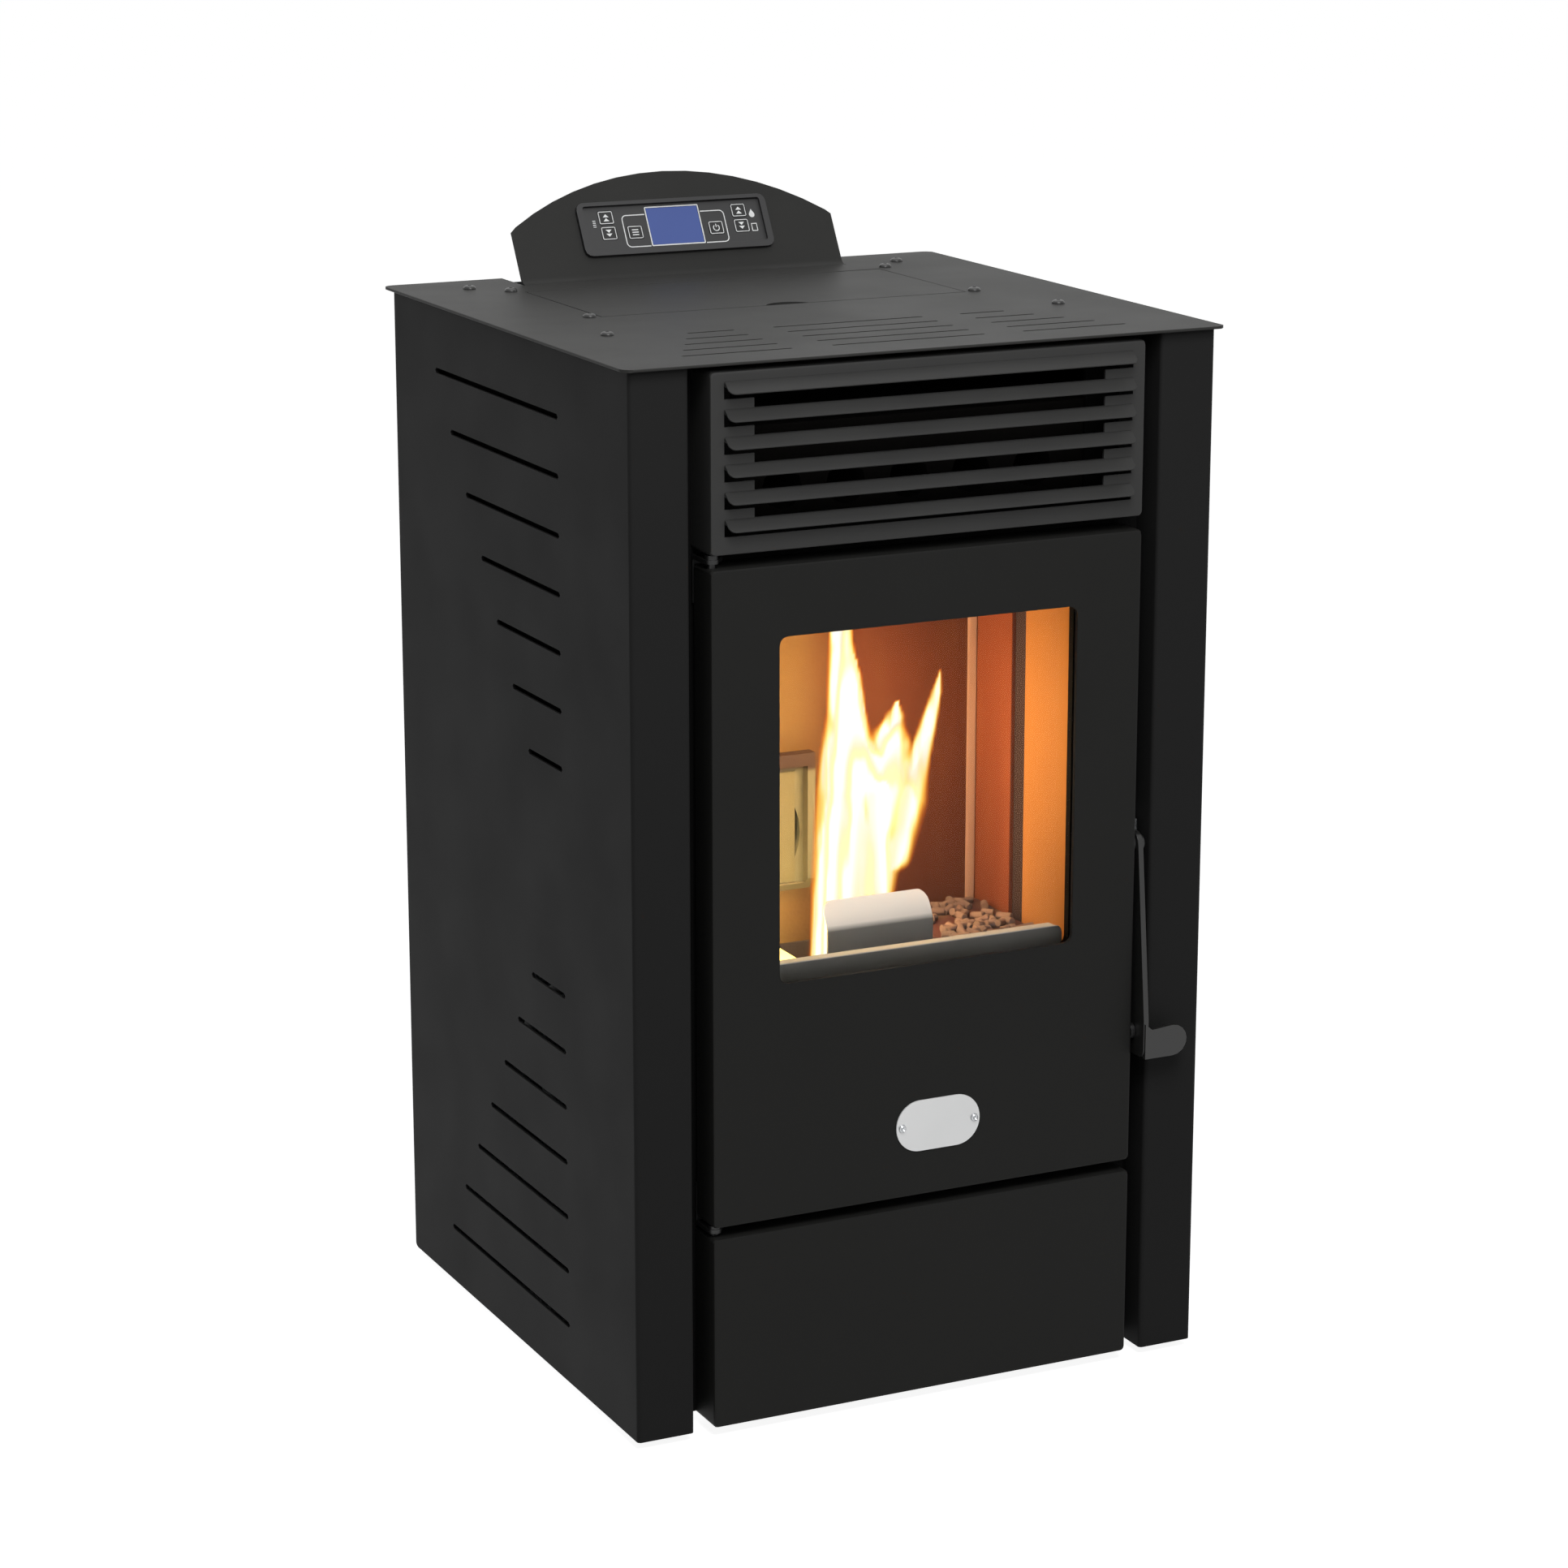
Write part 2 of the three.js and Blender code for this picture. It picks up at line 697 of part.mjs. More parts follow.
function makeControls() {
  const panel = new THREE.Group();
  panel.applyMatrix4(panelMatrix());
  stove.add(panel);

  const rim = prism('y', roundRect(-bezelHalf, bezelHalf, bezelLow, bezelHigh, 6), -bezelProud, -seat);
  const body = prism('y', bezelOpening(0), -seat - 0.5, bezelBodyDepth);
  const recess = prism('y', roundRect(-bezelHalf + bezelLip, bezelHalf - bezelLip,
    bezelLow + bezelLip, bezelHigh - bezelLip + 2, 2), -bezelProud - 1, bezelFloor);
  const pocketFloor = bezelFloor + keyThickness + 1;
  const lcdPocket = prism('y', rect(-lcdHalf - seat, lcdHalf + seat, lcdLow - seat, lcdHigh + seat),
    -bezelProud, pocketFloor);
  const keyPockets = Object.values(keyPlaces).map(([x, z]) => prism('y', roundRect(
    x - keyWidth / 2 - seat, x + keyWidth / 2 + seat, z - keyHeight / 2 - seat, z + keyHeight / 2 + seat, 1.5, 2),
  -bezelProud, pocketFloor));
  add('display_bezel', cut(join(rim, body), recess, lcdPocket, keyPockets), plastic(), panel);
  add('lcd_window', prism('y', rect(-lcdHalf, lcdHalf, lcdLow, lcdHigh), bezelFloor, pocketFloor - seat),
    lcdBlue(), panel);
  for (const [name, [x, z]] of Object.entries(keyPlaces)) {
    const outline = roundRect(x - keyWidth / 2, x + keyWidth / 2, z - keyHeight / 2, z + keyHeight / 2, 1.5, 2);
    add(name, prism('y', outline, bezelFloor - 0.2, bezelFloor - 0.2 + keyThickness), keyFace(), panel);
  }
}

const boardWidth = 130;
const boardHeight = 100;
const boardSide = 20;
const boardDrop = 96;

function makeControlBoard() {
  const x1 = innerHalf - boardSide;
  const x0 = x1 - boardWidth;
  const z1 = plateTop - boardDrop;
  const z0 = z1 - boardHeight;
  const boardY = backPanelY - 8;
  const parts = [box(x0, x1, boardY - 1.6, boardY, z0, z1)];
  for (const x of [x0 + 6, x1 - 6]) {
    for (const z of [z0 + 6, z1 - 6]) parts.push(rod([x, boardY - 1, z], [x, backPanelY, z], 3, 8));
  }
  parts.push(box(x0 + 14, x0 + 54, boardY - 30, boardY - 1, z0 + 50, z0 + 86));
  for (let i = 0; i < 3; i += 1) {
    parts.push(box(x0 + 66 + i * 20, x0 + 81 + i * 20, boardY - 17, boardY - 1, z0 + 60, z0 + 82));
  }
  for (let i = 0; i < 4; i += 1) {
    parts.push(box(x0 + 12 + i * 28, x0 + 34 + i * 28, boardY - 12, boardY - 1, z0 + 4, z0 + 13));
  }
  parts.push(rod([x0 + 96, boardY - 26, z0 + 36], [x0 + 96, boardY - 1, z0 + 36], 9, 12));
  add('control_board', join(parts), circuitGreen());
}

// ---------------------------------------------------------------- inner front frame, louvre, plinth

const hotAirHalf = louvreWindow / 2 + 3;
const hotAirBottom = grilleBottom + 11;
const hotAirTop = grilleTop - 8;
const coldAirHalf = columnHalf - 45;
const coldAirTop = plinthTop - 19;

function makeFrontFrame() {
  const half = halfWidth - pillarWidth + 20;
  const mouth = roundRect(-mouthWidth / 2, mouthWidth / 2, mouthBottom, mouthTop, 6);
  const hotAir = rect(-hotAirHalf, hotAirHalf, hotAirBottom, hotAirTop);
  const coldAir = rect(-coldAirHalf, coldAirHalf, 34, coldAirTop);
  add('front_frame', prism('y', rect(-half, half, 9, plateBottom), frameY, frameBackY,
    [mouth, hotAir, coldAir]), blackPaint());
}

// one louvre: a rounded blade pressed out of the sheet along its upper edge
function louvreBlade(z) {
  const half = louvreWidth / 2;
  const tip = half - 4;
  const corner = louvreCorner;
  const outline = [[half, 0.5], [-half, 0.5], [-half, 0],
    ...arc(-tip + corner, -louvreLength + corner, corner, 180, 270, 4),
    ...arc(tip - corner, -louvreLength + corner, corner, -90, 0, 4), [half, 0]];
  const blade = prismGeometry('y', outline, 0, sheet);
  blade.rotateX(-THREE.MathUtils.degToRad(louvreAngle));
  blade.translate(0, faceY, z);
  return toSolid(blade);
}

function makeGrille() {
  let grille = pressedPan(columnHalf, grilleBottom, grilleTop, faceY, frameY, sheet, sheet, edgeRound);
  const blades = [];
  for (let i = 0; i < louvreCount; i += 1) {
    const z = grilleTop - louvreHead - i * louvrePitch;
    const slot = box(-louvreWidth / 2, louvreWidth / 2, faceY - 1, faceY + sheet + 1, z - louvreLength, z);
    grille = cut(grille, slot);
    if (i < louvreCount - 1) {
      const next = z - louvrePitch;
      grille = cut(grille, box(-louvreWindow / 2, louvreWindow / 2, faceY - 1, faceY + sheet + 1,
        next + 1.2, z - louvreLength + 1));
    }
    blades.push(louvreBlade(z));
  }
  add('front_grille', join(grille, blades), grillePaint());
}

function makePlinth() {
  add('plinth_panel', pressedPan(columnHalf, plinthBottom, plinthTop, faceY, frameY, sheet, sheet, edgeRound),
    doorPaint());
}

// ---------------------------------------------------------------- door

const doorBackY = faceY + doorDepth;
const windowBottom = doorBottom + windowSill;
const windowTop = windowBottom + windowHeight;
const windowHalf = windowWidth / 2;
const glassY = faceY + glassRecess;
const innerFrameY = glassY + glassThickness + seat;
const innerFrameBack = innerFrameY + innerFrame;
const hingeX = -columnHalf + hingeInset;
const hingeY = faceY + hingeSetback;
const pivotY = faceY + 11;
const leverX = columnHalf + leverSideGap;
const studZ = 251;
const studY = faceY + 6;

function makeDoor() {
  const pan = pressedPan(columnHalf, doorBottom, doorTop, faceY, doorBackY, doorSkin, doorSkin, edgeRound);
  const windowCut = prism('y', roundRect(-windowHalf, windowHalf, windowBottom, windowTop, windowCorner),
    faceY - 1, faceY + doorSkin + 1);
  const pinHoles = [doorBottom, doorTop].map((z) => rod([hingeX, hingeY, z - 11], [hingeX, hingeY, z + 11],
    hingePin + runningGap, 16));
  const boltHole = rod([columnHalf - 8, pivotY, leverPivotHeight], [columnHalf + 5, pivotY, leverPivotHeight],
    boltRadius + seat, 12);
  const studHole = rod([columnHalf - 8, studY, studZ], [columnHalf + 5, studY, studZ], 3 + seat, 12);
  add('door_panel', cut(pan, windowCut, pinHoles, boltHole, studHole), doorPaint());

  const lap = glassLap;
  add('door_glass', prism('y', roundRect(-windowHalf - lap, windowHalf + lap, windowBottom - lap,
    windowTop + lap, 4, 2), glassY, glassY + glassThickness), clearGlass());

  const wall = columnHalf - doorSkin;
  const frameHole = roundRect(-windowHalf - 4, windowHalf + 4, windowBottom - 6, windowTop + 6, 6);
  const outline = rect(-wall, wall, doorBottom + 13, doorTop - 13);
  const plate = prism('y', outline, innerFrameY, innerFrameBack, [frameHole]);
  const channel = ropeRing(1.5 + ropeSize / 2 + seat, innerFrameBack - 0.5, innerFrameBack + 4);
  const bed = ropeRing(ropeSize / 2 + seat, innerFrameBack, innerFrameBack + 5);
  add('door_inner_frame', cut(join(plate, channel), bed), castIron());
  add('door_rope_gasket', ropeSolid(), rope());

  const railTop = windowBottom + 8;
  const railHalf = windowHalf + 3;
  const railShape = [[railHalf, railTop - railHeight], ...arc(railHalf - 6, railTop - 6, 6, 0, 90, 3),
    ...arc(-railHalf + 6, railTop - 6, 6, 90, 180, 3), [-railHalf, railTop - railHeight]];
  const railY = innerFrameBack + seat;
  const upright = prism('y', railShape, railY, railY + sheet);
  const lip = box(-railHalf + 6, railHalf - 6, railY + 0.5, railY + railLip, railTop - sheet, railTop);
  add('door_window_rail', join(upright, lip), castIron());
}

// a closed band around the fire opening, drawn half its width to each side of the rope's line
function ropeRing(halfBand, from, to) {
  const halfU = (mouthWidth / 2 + columnHalf - hingeLeafWidth) / 2;
  const low = mouthBottom - 0.5;
  const high = mouthTop - 0.5;
  const outer = roundRect(-halfU - halfBand, halfU + halfBand, low - halfBand, high + halfBand, 8 + halfBand);
  const inner = roundRect(-halfU + halfBand, halfU - halfBand, low + halfBand, high - halfBand,
    Math.max(8 - halfBand, 1));
  return prism('y', outer, from, to, [inner]);
}

// the woven rope: an eight-sided section whose ends meet, pressed a little flat
function ropeSolid() {
  const from = innerFrameBack + seat;
  const to = frameY - seat;
  const third = (to - from) / 3.4;
  return join(ropeRing(ropeSize / 2 - third, from, to), ropeRing(ropeSize / 2, from + third, to - third));
}

function makeHinges() {
  const x0 = hingeX - hingeInset;
  const x1 = x0 + hingeLeafWidth;
  const tongue = [[x1, frameY], [x0, frameY], [x0, hingeY],
    ...arc(hingeX, hingeY, hingeInset, 180, 360, 6).slice(1), [x1, hingeY + 6]];
  const upperZ = doorTop + 3;
  const upper = join(
    prism('z', tongue, upperZ, upperZ + hingeLeaf),
    box(x0, x1, frameY - hingeLeaf, frameY, upperZ - 30, upperZ + hingeLeaf),
    rod([hingeX, hingeY, doorTop - 9.5], [hingeX, hingeY, upperZ + 1], hingePin, 16),
    rod([hingeX, hingeY, upperZ + 1], [hingeX, hingeY, grilleBottom - 0.5], hingePin + 1.5, 16));
  add('hinge_upper', upper, zinc());

  const lowerZ = doorBottom - hingeLeaf - 2.5;
  const lower = join(
    prism('z', tongue, lowerZ, lowerZ + hingeLeaf),
    box(x0, x1, frameY - hingeLeaf, frameY, lowerZ, lowerZ + 30),
    rod([hingeX, hingeY, lowerZ - 1.7], [hingeX, hingeY, doorBottom + 10], hingePin, 16),
    rod([hingeX, hingeY, lowerZ + 1], [hingeX, hingeY, doorBottom - seat], hingePin + 1.5, 16));
  add('hinge_lower', lower, zinc());
}

// ---------------------------------------------------------------- handle

function makeHandle() {
  const r = leverPivotRadius;
  const front = frontY - handleReach + 2;
  const profile = [
    ...arc(pivotY, leverPivotHeight, r, 0, 180, 8),
    [front, leverBottom + tabHeight + 5],
    [front, leverBottom + 6],
    ...arc(front + 6, leverBottom + 6, 6, 180, 270, 3),
    [studY + 4, leverBottom],
    ...arc(studY + 4, leverBottom + 5, 5, -90, 0, 3),
    [studY + 9, studZ + 10],
    [studY + 2, studZ + 26],
    [pivotY + 5, leverPivotHeight - 16],
    ...arc(pivotY, leverPivotHeight, hookRadius, -20, 36, 6),
    ...arc(pivotY, leverPivotHeight, hookRadius - 3.7, 36, 0, 4),
  ];
  const blade = prism('x', profile, leverX, leverX + leverThickness);
  const bore = rod([leverX - 1, pivotY, leverPivotHeight], [leverX + leverThickness + 1, pivotY, leverPivotHeight],
    boltRadius + runningGap, 16);
  const tabHalf = tabHeight / 2;
  const tabEnd = leverX + leverThickness + tabWidth;
  const tabOutline = [[leverX + 0.5, leverBottom], ...arc(tabEnd - tabHalf, leverBottom + tabHalf, tabHalf, -90, 90, 8),
    [leverX + leverThickness + 2, leverBottom + tabHeight - 1.5], [leverX + 0.5, leverBottom + tabHeight + 3]];
  const tab = prism('y', tabOutline, front - 2, front + 1.5);
  add('handle_lever', cut(join(blade, tab), bore), blackPaint());

  const shank = rod([columnHalf - doorSkin + seat, pivotY, leverPivotHeight],
    [leverX + leverThickness + 1, pivotY, leverPivotHeight], boltRadius, 16);
  const head = rod([leverX + leverThickness + seat, pivotY, leverPivotHeight],
    [leverX + leverThickness + 3, pivotY, leverPivotHeight], 6, 12);
  const washer = rod([columnHalf, pivotY, leverPivotHeight], [leverX - seat, pivotY, leverPivotHeight], 6.5, 12);
  add('handle_pivot_bolt', join(shank, head, washer), zinc());

  const stud = join(
    rod([columnHalf - doorSkin + seat, studY, studZ], [columnHalf + 1, studY, studZ], 3, 12),
    rod([columnHalf, studY, studZ], [leverX - seat, studY, studZ], 6, 16));
  add('handle_guide_stud', stud, zinc());

  const keeperY = pivotY + 11;
  const keeperZ = leverPivotHeight + 7;
  const keeper = join(
    box(columnHalf + 2, halfWidth - pillarWidth - sheet - 0.5, frameY - 3, frameY, keeperZ - 16, keeperZ + 16),
    box(leverX + leverThickness + 2, halfWidth - pillarWidth - sheet - 0.5, keeperY - 4, frameY - 1,
      keeperZ - 8, keeperZ + 8),
    rod([leverX - 1, keeperY, keeperZ], [leverX + leverThickness + 4, keeperY, keeperZ], keeperRadius, 14));
  const leverWay = box(leverX - 1, leverX + leverThickness + 1, frameY - 3.2, frameY + 1, keeperZ - 20, keeperZ + 6);
  add('latch_keeper', cut(keeper, leverWay), zinc());
}

// ---------------------------------------------------------------- firebox

const fireHalf = fireboxWidth / 2;
const fireInner = fireHalf - fireboxWall;
const fireBackY = frameBackY + fireboxDepth;
const fireBackInner = fireBackY - fireboxWall;
const hearthBottom = hearthTop - hearthPlate;
const linerFace = fireInner - seat - linerThickness;
const backLinerFace = fireBackInner - seat - linerThickness;
const smokeX0 = -fireHalf + 4;
const smokeX1 = smokeX0 + 66;
const smokeInletTop = fireboxTop - 16;
const smokeInletBottom = smokeInletTop - 60;

// a cylinder along the pellet chute, which drops forwards from the feed tube
function chuteRod(radius, sides) {
  const start = feedPoint(chuteFrom);
  return rod(start, [feedX, start[1] - chuteFall * Math.sin(feedTilt), start[2] - chuteFall * Math.cos(feedTilt)],
    radius, sides);
}

function makeFirebox() {
  const shell = box(-fireHalf, fireHalf, frameBackY, fireBackY, fireboxBottom, fireboxTop);
  const chamber = box(-fireInner, fireInner, frameBackY + fireboxWall, fireBackInner,
    fireboxBottom + fireboxWall, fireboxTop - fireboxWall);
  const mouth = box(-fireInner, fireInner, frameBackY - 1, frameBackY + fireboxWall + 1,
    fireboxBottom + fireboxWall, linerTop + 4);
  const ledges = [-1, 1].map((side) => box(
    ...[side * (fireInner + 1), side * (fireInner - 10)].sort((a, b) => a - b),
    frameBackY + 10, fireBackInner + 1, hearthBottom - 4, hearthBottom));
  const tubes = [];
  const bores = [];
  for (let i = 0; i < exchangerTubes; i += 1) {
    const x = (i - (exchangerTubes - 1) / 2) * exchangerPitch;
    tubes.push(rod([x, frameBackY, exchangerHeight], [x, fireBackY, exchangerHeight], exchangerRadius, 12));
    bores.push(rod([x, frameBackY - 1, exchangerHeight], [x, fireBackY + 1, exchangerHeight],
      exchangerRadius - tubeWall, 12));
  }
  const legs = [];
  for (const side of [-1, 1]) {
    for (const [y, flange] of [[frameBackY + 3, 1], [fireBackY, -1]]) {
      legs.push(box(...[side * fireHalf, side * (fireHalf - 3)].sort((a, b) => a - b),
        ...[y, y + flange * 22].sort((a, b) => a - b), trayTop, fireboxBottom + 1));
      legs.push(box(...[side * fireHalf, side * (fireHalf - 22)].sort((a, b) => a - b),
        ...[y, y + flange * 3].sort((a, b) => a - b), trayTop, fireboxBottom + 1));
    }
  }
  const holes = [
    chuteRod(augerTubeRadius + 0.5, 20),
    box(smokeX0 + 5, smokeX1 - 5, fireBackInner - 1, fireBackY + 1, smokeInletBottom, smokeInletTop),
    rod([intakeX, fireBackInner - 1, intakeZ], [intakeX, fireBackY + 1, intakeZ], intakeRadius + seat, 24),
    rod([0, fireBackInner - 1, igniterZ], [0, fireBackY + 1, igniterZ], igniterSleeve + seat, 12),
  ];
  const hollow = cut(shell, chamber, mouth);
  add('firebox_shell', cut(join(hollow, ledges, tubes, legs), bores, holes), scaledSteel());

  const hearthY0 = frameBackY + 4;
  const hearthY1 = fireBackInner - seat;
  add('hearth_plate', prism('z', rect(-fireInner + seat, fireInner - seat, hearthY0, hearthY1),
    hearthBottom, hearthTop, [rect(-potWidth / 2 - 1.5, potWidth / 2 + 1.5, potY0 - 1.5, potY1 + 1.5)]), castIron());

  makeLiners(hearthY0);
  const baffleY = frameBackY + smokeGap;
  add('baffle_plate', cut(
    box(-fireInner + seat, fireInner - seat, baffleY, hearthY1, linerTop + seat, linerTop + seat + 4),
    box(-60, 60, baffleY - 1, baffleY + 12, linerTop, linerTop + 6)), vermiculite());
}

// ribbed fire bricks that stand on the hearth against the steel walls
function makeLiners(hearthY0) {
  const backFaceY = backLinerFace;
  const ribs = [];
  const back = [[-linerFace + seat, fireBackInner - seat]];
  const ribCount = 6;
  const ribPitch = (2 * linerFace - 12) / ribCount;
  back.push([-linerFace + seat, backFaceY]);
  for (let i = 0; i < ribCount; i += 1) {
    const x = -linerFace + 6 + (i + 0.5) * ribPitch;
    ribs.push([x - 9, backFaceY], [x - 7.5, backFaceY + 1.6], [x + 7.5, backFaceY + 1.6], [x + 9, backFaceY]);
  }
  back.push(...ribs, [linerFace - seat, backFaceY], [linerFace - seat, fireBackInner - seat]);
  const backSolid = prism('z', back, hearthTop + seat, linerTop);
  add('back_liner', cut(backSolid, chuteRod(augerTubeRadius + 0.5, 20)), vermiculite());

  const x0 = fireInner - seat;
  const grooveY = (hearthY0 + backLinerFace) / 2 + 5.15;
  const section = [[x0, hearthY0], [x0, fireBackInner - seat], [linerFace, fireBackInner - seat],
    [linerFace, grooveY + 5], [linerFace + 3, grooveY + 4], [linerFace + 3, grooveY - 4],
    [linerFace, grooveY - 5], [linerFace, hearthY0]];
  add('side_liner_right', prism('z', section, hearthTop + seat, linerTop), vermiculite());
  add('side_liner_left', prism('z', mirrored(section), hearthTop + seat, linerTop), vermiculite());
}

// ---------------------------------------------------------------- burn pot, flame guard, ash drawer

const potY0 = frontY + potFront;
const potY1 = fireBackY - potRear;
const potFlange = 6;
const grateHole = 4;
const igniterZ = potBottom + 20;
const igniterRadius = 5;
const igniterSleeve = 8;

function makeBurnPot() {
  const half = potWidth / 2;
  const cup = box(-half, half, potY0, potY1, potBottom, potRim);
  const flange = box(-half - 10, half + 10, potY0 - 10, potY1 + potFlange, hearthTop + seat, hearthTop + seat + 3);
  const cavity = box(-half + potWall, half - potWall, potY0 + potWall, potY1 - potWall, potBottom + potWall, potRim + 1);
  const holes = [];
  const stepX = (potWidth - 2 * potWall - 2 * grateHole) / 3;
  const stepY = (potY1 - potY0 - 2 * potWall - 2 * grateHole) / 3;
  for (let i = -1; i <= 1; i += 1) {
    for (let k = -1; k <= 1; k += 1) {
      const x = i * stepX;
      const y = (potY0 + potY1) / 2 + k * stepY;
      holes.push(rod([x, y, potBottom - 1], [x, y, potBottom + potWall + 1], grateHole, 8));
    }
  }
  add('burn_pot', cut(join(cup, flange), cavity, holes), castIron());

  // bent guard that keeps the embers off the glass
  const guardY = potY0 - 4;
  const foot = hearthTop + 2 * seat + 3;
  const tilt = THREE.MathUtils.degToRad(guardLean);
  const bend = [guardY, guardBend];
  const tip = [guardY + guardFlap * Math.sin(tilt), guardBend + guardFlap * Math.cos(tilt)];
  const across = [sheet * Math.cos(tilt), -sheet * Math.sin(tilt)];
  const profile = [[guardY - 4, foot], [guardY + sheet, foot],
    [guardY + sheet, guardBend - sheet * Math.tan(tilt / 2)],
    [tip[0] + across[0], tip[1] + across[1]], tip, bend, [guardY, foot + sheet], [guardY - 4, foot + sheet]];
  const plate = prism('x', profile, -guardWidth / 2, guardWidth / 2);
  const outline = [[-guardWidth / 2 - 1, foot - 1], [guardWidth / 2 + 1, foot - 1],
    [guardWidth / 2 + 1, guardBend], ...arc(guardWidth / 2 - 9, tip[1] - 9, 9, 0, 90, 4),
    ...arc(-guardWidth / 2 + 9, tip[1] - 9, 9, 90, 180, 4), [-guardWidth / 2 - 1, guardBend]];
  add('flame_guard', plate.intersect(prism('y', outline, guardY - 20, guardY + 40)), stainless());
}

const drawerHalf = mouthWidth / 2 - 4;
const drawerTop = potBottom - 8;

function makeAshDrawer() {
  const y0 = frameBackY + 3;
  const y1 = fireBackInner - 10;
  const z0 = fireboxBottom + fireboxWall;
  const tray = cut(box(-drawerHalf, drawerHalf, y0, y1, z0, drawerTop),
    box(-drawerHalf + 1.5, drawerHalf - 1.5, y0 + 1.5, y1 - 1.5, z0 + 1.5, drawerTop + 1));
  const grip = prism('x', [[y0 + 0.5, drawerTop - 26], [y0 - 9, drawerTop - 30], [y0 - 9, drawerTop - 18],
    [y0 - 7.5, drawerTop - 18], [y0 - 7.5, drawerTop - 27.5], [y0 + 0.5, drawerTop - 24]], -35, 35);
  add('ash_drawer', join(tray, grip), galvanised());
}

function makeIgniter() {
  const tipY = potY1 + 3;
  const sleeve = rod([0, fireBackInner - 6, igniterZ], [0, fireBackY + 22, igniterZ], igniterSleeve, 12);
  const heater = rod([0, tipY, igniterZ], [0, fireBackY + 30, igniterZ], igniterRadius, 12);
  const collar = rod([0, fireBackY + seat, igniterZ], [0, fireBackY + 5, igniterZ], 14, 6);
  add('igniter', join(sleeve, heater, collar), stainless());
}

// ---------------------------------------------------------------- hopper

const feedTilt = THREE.MathUtils.degToRad(augerAngle);
const feedStartY = rearY - augerFromRear;
const mouthY0 = lidFrontY + hopperFrontLedge;
const mouthY1 = mouthY0 + hopperMouthDepth;
const mouthHalf = hopperMouthWidth / 2;
const outletY0 = rearY - outletFromRear;
const outletY1 = outletY0 + hopperOutlet;
const neckBottom = augerStartZ + collarRise + seat;
const hopperSlopeBottom = neckBottom + hopperNeck;
const hopperSlopeTop = hopperSlopeBottom + hopperSlope;

// a point on the feed screw's axis, so far up from its lower end
function feedPoint(distance) {
  return [feedX, feedStartY - distance * Math.sin(feedTilt), augerStartZ + distance * Math.cos(feedTilt)];
}

function hopperVoid(margin, top, bottom) {
  const wide = rect(-mouthHalf - margin, mouthHalf + margin, mouthY0 - margin, mouthY1 + margin);
  const half = hopperOutlet / 2;
  const narrow = rect(feedX - half - margin, feedX + half + margin, outletY0 - margin, outletY1 + margin);
  return toSolid(loft([at(narrow, bottom), at(narrow, hopperSlopeBottom), at(wide, hopperSlopeTop), at(wide, top)]));
}

// how far the hopper's inside reaches, at a height on its slope
function slopeEdges(z) {
  const share = (z - hopperSlopeBottom) / (hopperSlopeTop - hopperSlopeBottom);
  const half = hopperOutlet / 2;
  const mix = (low, high) => low + (high - low) * share;
  return {
    left: mix(feedX - half, -mouthHalf),
    right: mix(feedX + half, mouthHalf),
    front: mix(outletY0, mouthY0),
    back: mix(outletY1, mouthY1),
  };
}

function makeHopper() {
  const flangeTop = plateBottom;
  const outer = hopperVoid(sheet, flangeTop - sheet, neckBottom);
  const flange = box(-mouthHalf - 30, mouthHalf + 30, mouthY0 - 24, lidRearY + 15, flangeTop - sheet, flangeTop);
  const neckFlange = box(feedX - hopperOutlet / 2 - 10, feedX + hopperOutlet / 2 + 10,
    outletY0 - 10, outletY1 + 10, neckBottom, neckBottom + sheet);
  const lugs = [-lidRodHalf - 1.5, lidRodHalf - 4.5].map((x) => box(x, x + 6, lidRodY - 5, lidRodY + 5,
    flangeTop - 10, flangeTop - 1));
  const rodWay = join(
    rod([-lidRodHalf - 0.5, lidRodY, lidRodZ], [lidRodHalf + 0.5, lidRodY, lidRodZ], lidRodRadius + seat, 12),
    box(-lidRodHalf - 0.5, lidRodHalf + 0.5, lidRodY - lidRodRadius - seat, lidRodY + lidRodRadius + seat,
      lidRodZ, flangeTop + 1));
  const swing = box(-lidHalf - 4, lidHalf + 4, lidRodY - 5, lidRodY + 5.2, flangeTop - sheet - 1, flangeTop + 1);
  const finger = prism('z', fingerNotch(2), flangeTop - sheet - 1, flangeTop + 1);
  add('hopper', cut(join(outer, flange, neckFlange, lugs), hopperVoid(0, flangeTop + 1, neckBottom - 1),
    rodWay, swing, finger), galvanised());

  // finger guard over the screw, a welded grid that rests on the slope
  const gridZ = hopperSlopeTop - 40;
  const edge = slopeEdges(gridZ);
  const clear = 0.5;
  const x0 = edge.left + clear;
  const x1 = edge.right - clear;
  const y0 = edge.front + clear;
  const y1 = edge.back - clear;
  const bars = [];
  for (let i = 0; i <= 7; i += 1) {
    const x = x0 + ((x1 - x0 - 3) * i) / 7;
    bars.push(box(x, x + 3, y0, y1, gridZ, gridZ + 3));
  }
  for (let k = 0; k <= 3; k += 1) {
    const y = y0 + ((y1 - y0 - 3) * k) / 3;
    bars.push(box(x0, x1, y, y + 3, gridZ, gridZ + 3));
  }
  add('hopper_grid', join(bars), zinc());
}

// ---------------------------------------------------------------- feed screw

// the square frame round the chute's mouth, in front of the back liner
function chuteFrame() {
  const back = backLinerFace - seat;
  const front = back - chuteFrameProud;
  const start = feedPoint(chuteFrom);
  const centre = start[2] + backLinerFace - start[1];
  const half = augerTubeRadius + chuteFrameBar;
  const top = centre + chuteFrameTop;
  const bottom = centre - chuteFrameBottom;
  const cheek = [[back, bottom], [front, bottom + chuteFrameProud], [front, top], [back, top]];
  const opening = box(feedX - augerTubeRadius, feedX + augerTubeRadius, front - 1, back - sheet,
    bottom + chuteFrameBar, top - 1.6 * chuteFrameBar);
  return cut(prism('x', cheek, feedX - half, feedX + half), opening);
}

